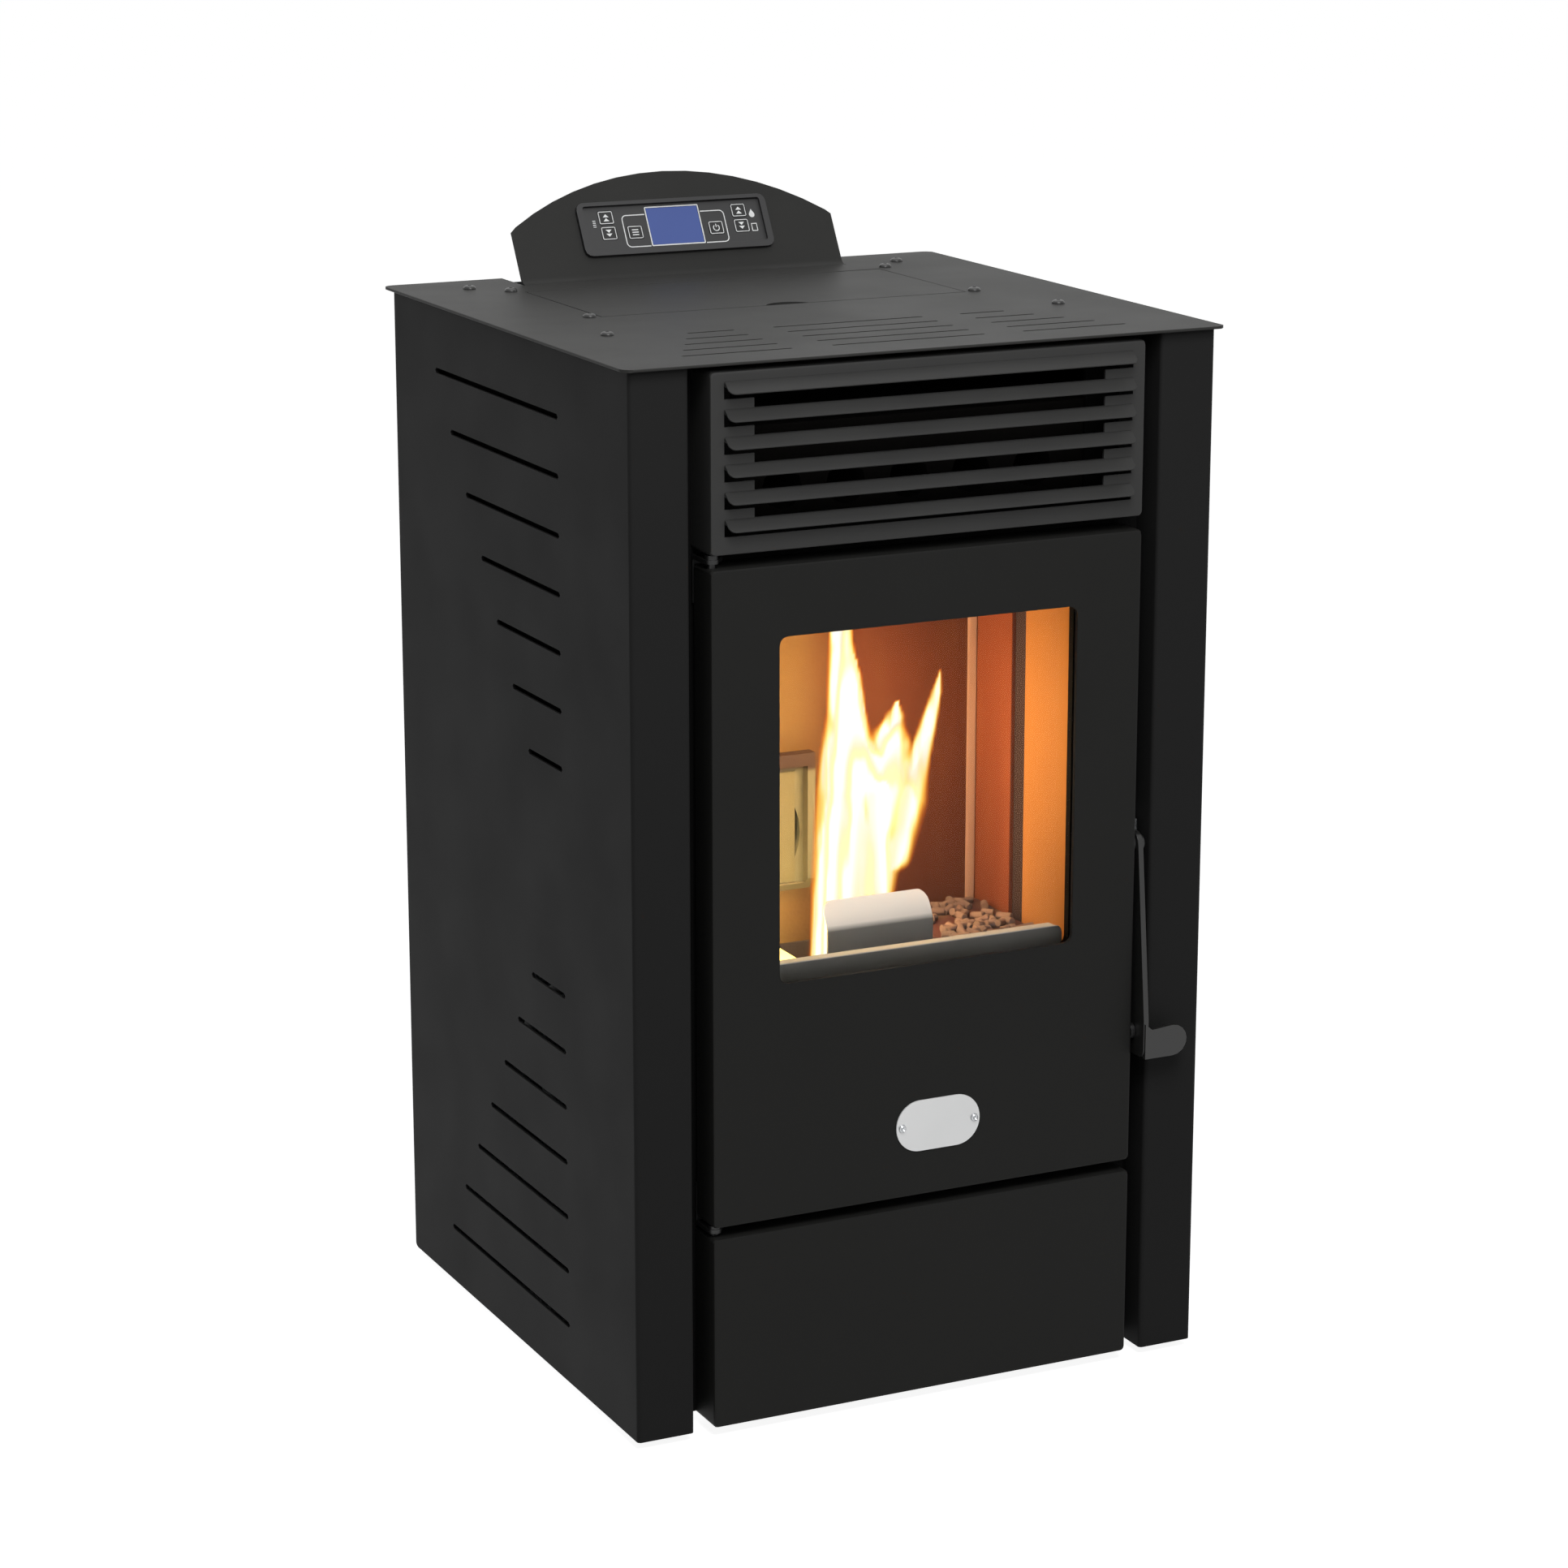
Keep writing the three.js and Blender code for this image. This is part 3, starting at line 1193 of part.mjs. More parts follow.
function makeFeedTube() {
  const lowEnd = feedPoint(-3);
  const highEnd = feedPoint(augerTubeLength);
  const bore = augerTubeRadius - augerTubeWall;
  const tube = rod(lowEnd, highEnd, augerTubeRadius, 20);
  const flange = rod(lowEnd, feedPoint(0), augerTubeRadius + 8, 20);
  const half = hopperOutlet / 2;
  const collarTop = neckBottom - seat;
  const axisAtOutlet = feedPoint((feedStartY - (outletY0 + outletY1) / 2) / Math.sin(feedTilt));
  const collar = box(feedX - half - sheet, feedX + half + sheet, outletY0 - sheet, outletY1 + sheet,
    axisAtOutlet[2], collarTop);
  const collarFlange = box(feedX - half - 10, feedX + half + 10, outletY0 - 10, outletY1 + 10,
    collarTop - sheet, collarTop);
  const chute = chuteRod(augerTubeRadius, 20);
  const front = box(feedX - 60, feedX + 60, backLinerFace - 100, backLinerFace - seat - sheet, hearthTop, linerTop);
  const collarWay = box(feedX - half + 3, feedX + half - 3, outletY0 + 3, outletY1 - 3,
    axisAtOutlet[2] - 5, collarTop + 1);
  const casing = cut(join(tube, flange, collar, collarFlange, chute), front);
  const solid = cut(join(casing, chuteFrame()), rod(feedPoint(0), feedPoint(augerTubeLength - 3), bore, 20),
    rod(feedPoint(-5), feedPoint(augerTubeLength + 5), augerShaft + runningGap, 12),
    chuteRod(bore, 20), collarWay);
  add('auger_tube', solid, galvanised());
}

// the flight is a rectangle swept up a helix round the shaft
function augerFlight(z0, z1) {
  const stepsPerTurn = 11;
  const turnsUp = (z1 - z0) / augerPitch;
  const steps = Math.round(turnsUp * stepsPerTurn);
  const rings = [];
  for (let i = 0; i <= steps; i += 1) {
    const angle = (i / stepsPerTurn) * 2 * Math.PI;
    const z = z0 + (i / stepsPerTurn) * augerPitch;
    const ring = [[augerShaft - 1.5, -1.2], [augerRadius, -1.2], [augerRadius, 1.2], [augerShaft - 1.5, 1.2]];
    rings.push(ring.map(([r, h]) => [r * Math.cos(angle), r * Math.sin(angle), z + h]));
  }
  return loft(rings.map((ring) => ring.slice().reverse()));
}

const gearboxHalf = 34;
const gearboxDepth = 34;
const gearMotorRadius = 24;
const gearMotorLength = 38;
const gearOffset = 14;

function makeFeedDrive() {
  const drive = new THREE.Group();
  drive.position.set(feedX, feedStartY, augerStartZ);
  drive.rotation.x = feedTilt;
  stove.add(drive);
  const shaft = rod([0, 0, -13], [0, 0, augerTubeLength - 1], augerShaft, 14);
  add('auger_screw', join(shaft, toSolid(augerFlight(6, augerTubeLength - 22))), zinc(), drive);

  const top = -3 - seat;
  const gearEnd = top - gearboxDepth;
  const motorEnd = gearEnd - gearMotorLength;
  const gearbox = prism('z', roundRect(-gearboxHalf, gearboxHalf, -augerTubeRadius, augerTubeRadius, 6), gearEnd, top);
  const motor = rod([gearOffset, 0, gearEnd + 1], [gearOffset, 0, motorEnd], gearMotorRadius, 20);
  const fan = rod([gearOffset, 0, motorEnd + 1], [gearOffset, 0, motorEnd - 6], gearMotorRadius - 7, 16);
  const socket = rod([0, 0, top - 12], [0, 0, top + 1], augerShaft + runningGap, 14);
  add('auger_gearmotor', cut(join(gearbox, motor, fan), socket), motorAlloy(), drive);
}

// ---------------------------------------------------------------- smoke path and exhaust fan

const fanY = rearY - fanFromRear;
const fanZ = flueZ - 35;
const fanRadius = 64;
const fanWidth = 60;
const fanX0 = flueX - fanWidth / 2;
const fanX1 = flueX + fanWidth / 2;
const fanWall = 2;
const fanEye = 32;
const throatFromRear = 48;
const ductWidth = 43;
const smokeBackY = fireBackY + 34;

function makeSmokePath() {
  const y0 = fireBackY;
  const low = fanZ - 45;
  const high = fanZ + 50;
  const ductEnd = fanX1 + ductWidth;
  const blocks = (inset) => [
    box(smokeX0 + inset, smokeX1 - inset, y0 + inset, smokeBackY - inset, low + inset, fireboxTop - 6 - inset),
    box(smokeX0 + inset, ductEnd - inset, y0 + inset, smokeBackY - inset, low + inset, high - inset),
    box(fanX1 + inset, ductEnd - inset, y0 + inset, fanY + 50 - inset, low + inset, high - inset),
  ];
  const inlet = box(smokeX0 + 5, smokeX1 - 5, y0 - 1, y0 + fanWall + 1, smokeInletBottom, smokeInletTop);
  const outlet = rod([fanX1 - 5, fanY, fanZ], [fanX1 + 5, fanY, fanZ], fanEye, 20);
  add('smoke_duct', cut(join(blocks(0)), join(blocks(fanWall)), inlet, outlet), galvanised());

  const top = fanZ + fanRadius + 10;
  const bottom = flueZ - 38;
  const scroll = prism('x', circle(fanY, fanZ, fanRadius, 24), fanX0, fanX1);
  const throatY = rearY - throatFromRear;
  const throat = box(fanX0, fanX1, fanY, throatY, bottom, top);
  const flange = box(flueX - flueRadius - 4, flueX + flueRadius + 4, throatY - 3, throatY,
    flueZ - flueRadius - 4, flueZ + flueRadius + 4);
  const collar = rod([flueX, throatY - 2, flueZ], [flueX, throatY + 20, flueZ], flueRadius + 2 + seat, 24);
  const legs = [fanX0 + 1, fanX1 - 4].map((x) => box(x, x + 3, fanY - 30, fanY + 30, trayTop, fanZ - 40));
  const inScroll = prism('x', circle(fanY, fanZ, fanRadius - fanWall, 24), fanX0 + fanWall, fanX1 - fanWall);
  const inThroat = box(fanX0 + fanWall, fanX1 - fanWall, fanY, throatY + 12, bottom + fanWall, top - fanWall);
  const mouth = rod([flueX, throatY, flueZ], [flueX, throatY + 30, flueZ], flueRadius + seat, 24);
  const eye = rod([fanX1 - 5, fanY, fanZ], [fanX1 + 5, fanY, fanZ], fanEye, 20);
  const shaftHole = rod([fanX0 - 5, fanY, fanZ], [fanX0 + 5, fanY, fanZ], 6, 12);
  add('exhaust_fan_housing', cut(join(scroll, throat, flange, collar, legs), inScroll, inThroat, mouth, eye, shaftHole),
    galvanised());

  const backDisc = rod([fanX0 + 8, fanY, fanZ], [fanX0 + 10, fanY, fanZ], fanRadius - 9, 24);
  const hub = rod([fanX0 + 6, fanY, fanZ], [fanX1 - 16, fanY, fanZ], 10, 16);
  const shaft = rod([fanX0 - 8, fanY, fanZ], [fanX0 + 10, fanY, fanZ], 4, 12);
  const blades = [];
  for (let i = 0; i < 8; i += 1) {
    const blade = new THREE.BoxGeometry(34, fanRadius - 18, 1.6);
    blade.translate(fanX0 + 9 + 17, (fanRadius - 18) / 2 + 6, 0);
    blade.rotateX((i * Math.PI) / 4);
    blade.translate(0, fanY, fanZ);
    blades.push(toSolid(blade));
  }
  add('exhaust_impeller', join(backDisc, hub, shaft, blades), stainless());

  const can = rod([fanX0 - 44, fanY, fanZ], [fanX0 - 6, fanY, fanZ], 32, 24);
  const plate = prism('x', roundRect(fanY - 38, fanY + 38, fanZ - 38, fanZ + 38, 8), fanX0 - 7, fanX0);
  const bore = rod([fanX0 - 10, fanY, fanZ], [fanX0 + 1, fanY, fanZ], 4 + runningGap, 12);
  const cooling = rod([fanX0 - 52, fanY, fanZ], [fanX0 - 43, fanY, fanZ], 24, 16);
  add('exhaust_motor', cut(join(can, plate, cooling), bore), motorAlloy());

  const pipe = rod([flueX, throatY + 6, flueZ], [flueX, flueEndY, flueZ], flueRadius, 24);
  const pipeBore = rod([flueX, throatY, flueZ], [flueX, flueEndY + 1, flueZ], flueRadius - 1.5, 24);
  add('flue_pipe', cut(pipe, pipeBore), blackPaint());

  const intake = rod([intakeX, fireBackInner, intakeZ], [intakeX, rearY + intakeReach, intakeZ], intakeRadius, 24);
  const intakeBore = rod([intakeX, fireBackInner - 1, intakeZ], [intakeX, rearY + intakeReach + 1, intakeZ],
    intakeRadius - 1.5, 24);
  add('air_intake_pipe', cut(intake, intakeBore), galvanised());
}

// ---------------------------------------------------------------- room air fan under the firebox

const wheelY = (frameBackY + fireBackY) / 2 - 2;
const wheelZ = 86;
const wheelRadius = 30;
const wheelX0 = -96;
const wheelX1 = 66;
const wheelEnd = 4;

function makeRoomFan() {
  const x0 = wheelX0 - wheelEnd;
  const x1 = wheelX1 + wheelEnd;
  const outerR = wheelRadius + 8;
  const scroll = prism('x', circle(wheelY, wheelZ, outerR, 24), x0, x1);
  const throatEnd = fireBackY - 17;
  const throat = box(x0, x1, wheelY, throatEnd, wheelZ + 4, wheelZ + outerR);
  const legs = [x0, x1 - sheet].map((x) => box(x, x + sheet, wheelY - 26, wheelY + 26, trayTop, wheelZ));
  const inScroll = prism('x', circle(wheelY, wheelZ, outerR - sheet, 24), x0 + sheet, x1 - sheet);
  const inThroat = box(x0 + sheet, x1 - sheet, wheelY, throatEnd + 1, wheelZ + 4 + sheet, wheelZ + outerR - sheet);
  const inlet = box(x0 + sheet, x1 - sheet, wheelY - outerR - 5, wheelY - 12, wheelZ - 26, wheelZ + 22);
  const shaftWay = rod([x0 - 1, wheelY, wheelZ], [x1 + 1, wheelY, wheelZ], 4 + runningGap, 12);
  add('room_fan_housing', cut(join(scroll, throat, legs), inScroll, inThroat, inlet, shaftWay), galvanised());

  const shaft = rod([x0, wheelY, wheelZ], [x1 + 8, wheelY, wheelZ], 4, 12);
  const discs = [wheelX0, wheelX1 - 1.5].map((x) => rod([x, wheelY, wheelZ], [x + 1.5, wheelY, wheelZ],
    wheelRadius, 20));
  const blades = [];
  const count = 12;
  for (let i = 0; i < count; i += 1) {
    const blade = new THREE.BoxGeometry(wheelX1 - wheelX0 - 1, 1.4, 8);
    blade.rotateX(0.6);
    blade.translate((wheelX0 + wheelX1) / 2, 0, wheelRadius - 5);
    blade.rotateX((i * 2 * Math.PI) / count);
    blade.translate(0, wheelY, wheelZ);
    blades.push(toSolid(blade));
  }
  add('room_fan_wheel', join(shaft, discs, blades), motorAlloy());

  const can = rod([x1, wheelY, wheelZ], [x1 + 40, wheelY, wheelZ], 26, 20);
  const bore = rod([x1 - 1, wheelY, wheelZ], [x1 + 10, wheelY, wheelZ], 4 + runningGap, 12);
  const foot = box(x1 + 8, x1 + 30, wheelY - 14, wheelY + 14, trayTop, wheelZ - 15);
  add('room_fan_motor', cut(join(can, foot), bore), motorAlloy());
}

// ---------------------------------------------------------------- mains inlet and switch

const rockerX = inletX + 15;
const rockerHalfWidth = 6;
const rockerY = backPanelY + sheet + 1;

function makeInlet() {
  const wall = backPanelY + sheet;
  const flange = prism('y', roundRect(inletX - inletWidth / 2, inletX + inletWidth / 2,
    inletZ - inletHeight / 2, inletZ + inletHeight / 2, 3, 2), wall + seat, wall + seat + 2);
  const body = box(inletX - inletWidth / 2 + 4, inletX + inletWidth / 2 - 4, backPanelY - 22, wall + 1,
    inletZ - inletHeight / 2 + 3, inletZ + inletHeight / 2 - 3);
  const socketX = inletX - 8;
  const socket = prism('y', [[socketX - 11, inletZ - 7], [socketX + 11, inletZ - 7], [socketX + 11, inletZ + 3],
    [socketX + 6, inletZ + 8], [socketX - 6, inletZ + 8], [socketX - 11, inletZ + 3]], wall - 16, wall + 5);
  const pins = [[-7, -2], [0, 2], [7, -2]].map(([dx, dz]) => box(socketX + dx - 1, socketX + dx + 1,
    wall - 17, wall - 2, inletZ + dz - 2.5, inletZ + dz + 2.5));
  const bay = box(rockerX - rockerHalfWidth - seat, rockerX + rockerHalfWidth + seat, rockerY - 8, wall + 5,
    inletZ - 10.5, inletZ + 10.5);
  add('power_inlet', join(cut(join(flange, body), socket, bay), pins), plastic());

  const rocker = prismGeometry('x', [[-5, -8.6], [1.8, -9], [0.6, 0], [1.8, 9], [-5, 8.6]],
    rockerX - rockerHalfWidth, rockerX + rockerHalfWidth);
  rocker.rotateX(-THREE.MathUtils.degToRad(10));
  rocker.translate(0, rockerY, inletZ);
  add('rocker_switch', toSolid(rocker), plastic());
}

// ---------------------------------------------------------------- assembly

makeBase();
makeSideCovers();
makeBackPanel();
makeTopPlate();
makeLid();
makeControls();
makeControlBoard();
makeFrontFrame();
makeGrille();
makePlinth();
makeDoor();
makeHinges();
makeHandle();
makeFirebox();
makeBurnPot();
makeAshDrawer();
makeIgniter();
makeHopper();
makeFeedTube();
makeFeedDrive();
makeSmokePath();
makeRoomFan();
makeInlet();

export default stove;
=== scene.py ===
"""Looks for a freestanding pellet stove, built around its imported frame."""
import json
import logging
import math
import random
from dataclasses import dataclass, field
from enum import Enum

import bmesh
import bpy
from bpy.types import Material, NodeSocket, NodeTree, Object
from bmesh.types import BMesh
from mathutils import Matrix, Vector, noise


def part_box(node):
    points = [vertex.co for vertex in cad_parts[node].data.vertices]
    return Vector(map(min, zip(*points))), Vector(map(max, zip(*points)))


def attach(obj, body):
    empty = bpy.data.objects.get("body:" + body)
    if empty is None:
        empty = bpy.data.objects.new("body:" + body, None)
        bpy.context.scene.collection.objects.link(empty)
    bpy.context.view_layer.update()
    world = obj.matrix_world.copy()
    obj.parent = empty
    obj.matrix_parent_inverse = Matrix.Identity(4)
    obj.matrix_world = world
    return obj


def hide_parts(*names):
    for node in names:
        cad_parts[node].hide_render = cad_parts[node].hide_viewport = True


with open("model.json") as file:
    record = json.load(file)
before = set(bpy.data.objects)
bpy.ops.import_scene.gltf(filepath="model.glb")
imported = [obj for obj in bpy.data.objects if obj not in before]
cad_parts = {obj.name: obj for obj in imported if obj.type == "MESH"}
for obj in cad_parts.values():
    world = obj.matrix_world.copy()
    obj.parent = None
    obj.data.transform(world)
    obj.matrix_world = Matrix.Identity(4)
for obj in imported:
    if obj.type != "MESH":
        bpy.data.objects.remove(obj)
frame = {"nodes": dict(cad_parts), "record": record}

log = logging.getLogger("pellet_stove")
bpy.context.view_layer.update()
MM = 0.001


class Body(Enum):
    """The moving bodies that pieces ride on."""

    CASING = "casing"
    DOOR = "door"
    HANDLE = "handle"
    LID = "lid"
    POT = "pot"
    AUGER = "auger"
    EXHAUST_FAN = "exhaust_fan"
    ROOM_FAN = "room_fan"
    ROCKER = "rocker"


class Edge(Enum):
    """How far the edges of a sheet or moulding are rounded, in millimetres."""

    CUT = 0.25
    BENT = 0.7


# ---------------------------------------------------------------- finishes


def linear(hex_code: str, alpha: float = 1.0) -> tuple[float, float, float, float]:
    """Turns an sRGB hex colour into linear values.

    Args:
        hex_code: Six hex digits, with or without a leading #.
        alpha: The fourth value of the result.

    Returns:
        Red, green, blue and alpha.
    """
    digits = hex_code.lstrip("#")
    channels = [int(digits[i:i + 2], 16) / 255 for i in (0, 2, 4)]
    values = [c / 12.92 if c <= 0.04045 else ((c + 0.055) / 1.055) ** 2.4 for c in channels]
    return (values[0], values[1], values[2], alpha)


def add_node(tree: NodeTree, kind: str, values: dict | None = None, links: dict | None = None,
             **settings) -> bpy.types.Node:
    """Adds one shader node.

    Args:
        tree: The node tree that takes the node.
        kind: The node's type, such as ShaderNodeTexNoise.
        values: Values for its inputs, by name or number.
        links: Sockets that feed its inputs, by name or number.
        **settings: Attributes of the node itself.

    Returns:
        The new node.
    """
    node = tree.nodes.new(kind)
    for name, value in settings.items():
        setattr(node, name, value)
    for key, value in (values or {}).items():
        node.inputs[key].default_value = value
    for key, source in (links or {}).items():
        tree.links.new(source, node.inputs[key])
    return node


@dataclass(frozen=True)
class Finish:
    """A surface: its name, its two mixed colours and its gloss.

    Attributes:
        name: The material's name.
        base: The main colour.
        second: The colour that mottling, wear or staining brings in, and in several finishes a painted highlight,
            shade or firelight glow along the run.
        metallic: 1 for bare metal.
        roughness: The mean roughness.
        uneven: How far roughness swings around its mean.
        ior: Index of refraction of paint, plastic or glass.
        run: Axis (0, 1 or 2) and the two places in millimetres between which base turns into second.
        streak: How far the mottling breaks up that run.
    """

    name: str
    base: str
    second: str
    metallic: float = 0.0
    roughness: float = 0.5
    uneven: float = 0.08
    ior: float = 1.5
    run: tuple[int, float, float] | None = None
    streak: float = 0.35

    def grain(self, tree: NodeTree, coords: NodeSocket) -> tuple[NodeSocket, float, float]:
        """Gives the pattern that lifts the surface.

        Args:
            tree: The material's node tree.
            coords: Object coordinates, in metres.

        Returns:
            A height socket, the bump's strength and its depth in metres.
        """
        cloud = add_node(tree, "ShaderNodeTexNoise", {"Scale": 900.0, "Detail": 2.0}, {"Vector": coords})
        return cloud.outputs["Fac"], 0.1, 0.0001

    def mottle(self, tree: NodeTree, coords: NodeSocket) -> NodeSocket:
        """Gives how much of the second colour shows, from 0 to 1."""
        cloud = add_node(tree, "ShaderNodeTexNoise", {"Scale": 14.0, "Detail": 4.0}, {"Vector": coords})
        return cloud.outputs["Fac"]

    def graded(self, tree: NodeTree, coords: NodeSocket, cloud: NodeSocket) -> NodeSocket:
        """Spreads the second colour along the run, broken up by the mottling.

        Args:
            tree: The material's node tree.
            coords: Object coordinates, in metres.
            cloud: The mottling, from 0 to 1.

        Returns:
            How much of the second colour shows.
        """
        if self.run is None:
            return cloud
        axis, start, end = self.run
        spread = add_node(tree, "ShaderNodeSeparateXYZ", links={0: coords}).outputs[axis]
        ramp = add_node(tree, "ShaderNodeMapRange", {"From Min": start * MM, "From Max": end * MM,
                                                     "To Min": -self.streak / 2, "To Max": 1 - self.streak / 2},
                        {"Value": spread})
        broken = add_node(tree, "ShaderNodeMath", {1: self.streak}, {0: cloud, 2: ramp.outputs[0]},
                          operation="MULTIPLY_ADD", use_clamp=True)
        return broken.outputs[0]

    def finish_shader(self, shader: bpy.types.Node) -> None:
        """Sets the sockets that only this kind of surface has."""

    def material(self) -> Material:
        """Makes the material, or returns the one that was made before."""
        made = bpy.data.materials.get(self.name)
        if made:
            return made
        made = bpy.data.materials.new(self.name)
        made.use_nodes = True
        tree = made.node_tree
        tree.nodes.clear()
        coords = add_node(tree, "ShaderNodeTexCoord").outputs["Object"]
        share = self.graded(tree, coords, self.mottle(tree, coords))
        colour = add_node(tree, "ShaderNodeMix", {6: linear(self.base), 7: linear(self.second)},
                          {0: share}, data_type="RGBA")
        rough = add_node(tree, "ShaderNodeMapRange",
                         {"To Min": self.roughness - self.uneven, "To Max": self.roughness + self.uneven},
                         {"Value": share})
        height, strength, depth = self.grain(tree, coords)
        bump = add_node(tree, "ShaderNodeBump", {"Strength": strength, "Distance": depth}, {"Height": height})
        shader = add_node(
            tree, "ShaderNodeBsdfPrincipled",
            {"Metallic": self.metallic, "IOR": self.ior},
            {"Base Color": colour.outputs[2], "Roughness": rough.outputs[0], "Normal": bump.outputs[0]})
        self.finish_shader(shader)
        add_node(tree, "ShaderNodeOutputMaterial", links={"Surface": shader.outputs[0]})
        return made


@dataclass(frozen=True)
class StovePaint(Finish):
    """High-temperature silicone paint, sprayed and stoved: a fine orange peel that scatters the light."""

    grain_mm: float = 0.9
    peel: float = 0.35
    gloss: float = 0.22

    def finish_shader(self, shader: bpy.types.Node) -> None:
        """Keeps the sheen low, as the paint's fillers do."""
        shader.inputs["Specular IOR Level"].default_value = self.gloss

    def grain(self, tree: NodeTree, coords: NodeSocket) -> tuple[NodeSocket, float, float]:
        """Gives the paint's sprayed grain, drawn coarser than its real 0.2 mm so that it shows."""
        cloud = add_node(tree, "ShaderNodeTexNoise",
                         {"Scale": 1.0 / (self.grain_mm * MM), "Detail": 3.0, "Roughness": 0.6},
                         {"Vector": coords})
        return cloud.outputs["Fac"], self.peel, 0.00012


@dataclass(frozen=True)
class BrushedSheet(Finish):
    """Rolled or brushed sheet metal: fine lines along X that stretch each highlight."""

    line_mm: float = 0.6
    stretch: float = 40.0

    def grain(self, tree: NodeTree, coords: NodeSocket) -> tuple[NodeSocket, float, float]:
        """Gives the rolling lines, much longer than they are wide."""
        lines = 1.0 / (self.line_mm * MM)
        drawn = add_node(tree, "ShaderNodeMapping", {"Scale": (lines / self.stretch, lines, lines)},
                         {"Vector": coords})
        cloud = add_node(tree, "ShaderNodeTexNoise", {"Scale": 1.0, "Detail": 3.0},
                         {"Vector": drawn.outputs[0]})
        return cloud.outputs["Fac"], 0.15, 0.00006


@dataclass(frozen=True)
class Galvanised(Finish):
    """Hot-dip galvanised sheet: grey crystal spangle about 8 mm across."""

    spangle_mm: float = 8.0

    def mottle(self, tree: NodeTree, coords: NodeSocket) -> NodeSocket:
        """Gives each zinc crystal its own shade."""
        cells = add_node(tree, "ShaderNodeTexVoronoi", {"Scale": 1.0 / (self.spangle_mm * MM)},
                         {"Vector": coords})
        grey = add_node(tree, "ShaderNodeRGBToBW", links={0: cells.outputs["Color"]})
        return grey.outputs[0]


@dataclass(frozen=True)
class CastIron(Finish):
    """Sand-cast iron: a coarse, dull skin with rust-brown scale."""

    sand_mm: float = 1.4

    def grain(self, tree: NodeTree, coords: NodeSocket) -> tuple[NodeSocket, float, float]:
        """Gives the sand's print."""
        cloud = add_node(tree, "ShaderNodeTexNoise", {"Scale": 1.0 / (self.sand_mm * MM), "Detail": 5.0},
                         {"Vector": coords})
        return cloud.outputs["Fac"], 0.5, 0.0003


@dataclass(frozen=True)
class FireBoard(Finish):
    """Pressed vermiculite board: flaky and matt, browned by the fire in upright streaks."""

    flake_mm: float = 3.0

    def mottle(self, tree: NodeTree, coords: NodeSocket) -> NodeSocket:
        """Gives the upright soot streaks."""
        drawn = add_node(tree, "ShaderNodeMapping", {"Scale": (40.0, 40.0, 5.0)}, {"Vector": coords})
        cloud = add_node(tree, "ShaderNodeTexNoise", {"Scale": 1.0, "Detail": 4.0, "Roughness": 0.6},
                         {"Vector": drawn.outputs[0]})
        return cloud.outputs["Fac"]

    def grain(self, tree: NodeTree, coords: NodeSocket) -> tuple[NodeSocket, float, float]:
        """Gives the flakes of the pressed board."""
        flakes = add_node(tree, "ShaderNodeTexVoronoi", {"Scale": 1.0 / (self.flake_mm * MM)},
                          {"Vector": coords})
        return flakes.outputs["Distance"], 0.35, 0.0004


@dataclass(frozen=True)
class Moulding(Finish):
    """Injection-moulded ABS with a spark-eroded grain."""

    grain_mm: float = 0.5

    def grain(self, tree: NodeTree, coords: NodeSocket) -> tuple[NodeSocket, float, float]:
        """Gives the mould's grain."""
        cloud = add_node(tree, "ShaderNodeTexNoise", {"Scale": 1.0 / (self.grain_mm * MM), "Detail": 2.0},
                         {"Vector": coords})
        return cloud.outputs["Fac"], 0.15, 0.00005


@dataclass(frozen=True)
class WovenRope(Finish):
    """Glass-fibre rope: slanted strands about 3 mm wide."""

    strand_mm: float = 3.0

    def grain(self, tree: NodeTree, coords: NodeSocket) -> tuple[NodeSocket, float, float]:
        """Gives the slanted strands."""
        turned = add_node(tree, "ShaderNodeMapping",
                          {"Rotation": (0.6, 0.5, 0.7), "Scale": (1.0, 1.0, 1.0)}, {"Vector": coords})
        bands = add_node(tree, "ShaderNodeTexWave", {"Scale": 1.0 / (self.strand_mm * MM * 2.0), "Distortion": 1.5},
                         {"Vector": turned.outputs[0]})
        return bands.outputs["Fac"], 0.8, 0.0008


@dataclass(frozen=True)
class FireGlass(Finish):
    """Clear glass ceramic: a polished pane with the faintest haze of soot."""

    def finish_shader(self, shader: bpy.types.Node) -> None:
        """Lets the light through."""
        shader.inputs["Transmission Weight"].default_value = 1.0
        shader.inputs["Specular IOR Level"].default_value = 0.3

    def grain(self, tree: NodeTree, coords: NodeSocket) -> tuple[NodeSocket, float, float]:
        """Gives the slow waves of drawn glass."""
        waves = add_node(tree, "ShaderNodeTexNoise", {"Scale": 12.0, "Detail": 1.0}, {"Vector": coords})
        return waves.outputs["Fac"], 0.02, 0.0001


@dataclass(frozen=True)
class BackLight(Finish):
    """A lit display or lamp: its colour glows by itself, a little unevenly."""

    strength: float = 1.0

    def finish_shader(self, shader: bpy.types.Node) -> None:
        """Adds the glow in the base colour."""
        shader.inputs["Emission Color"].default_value = linear(self.base)
        shader.inputs["Emission Strength"].default_value = self.strength


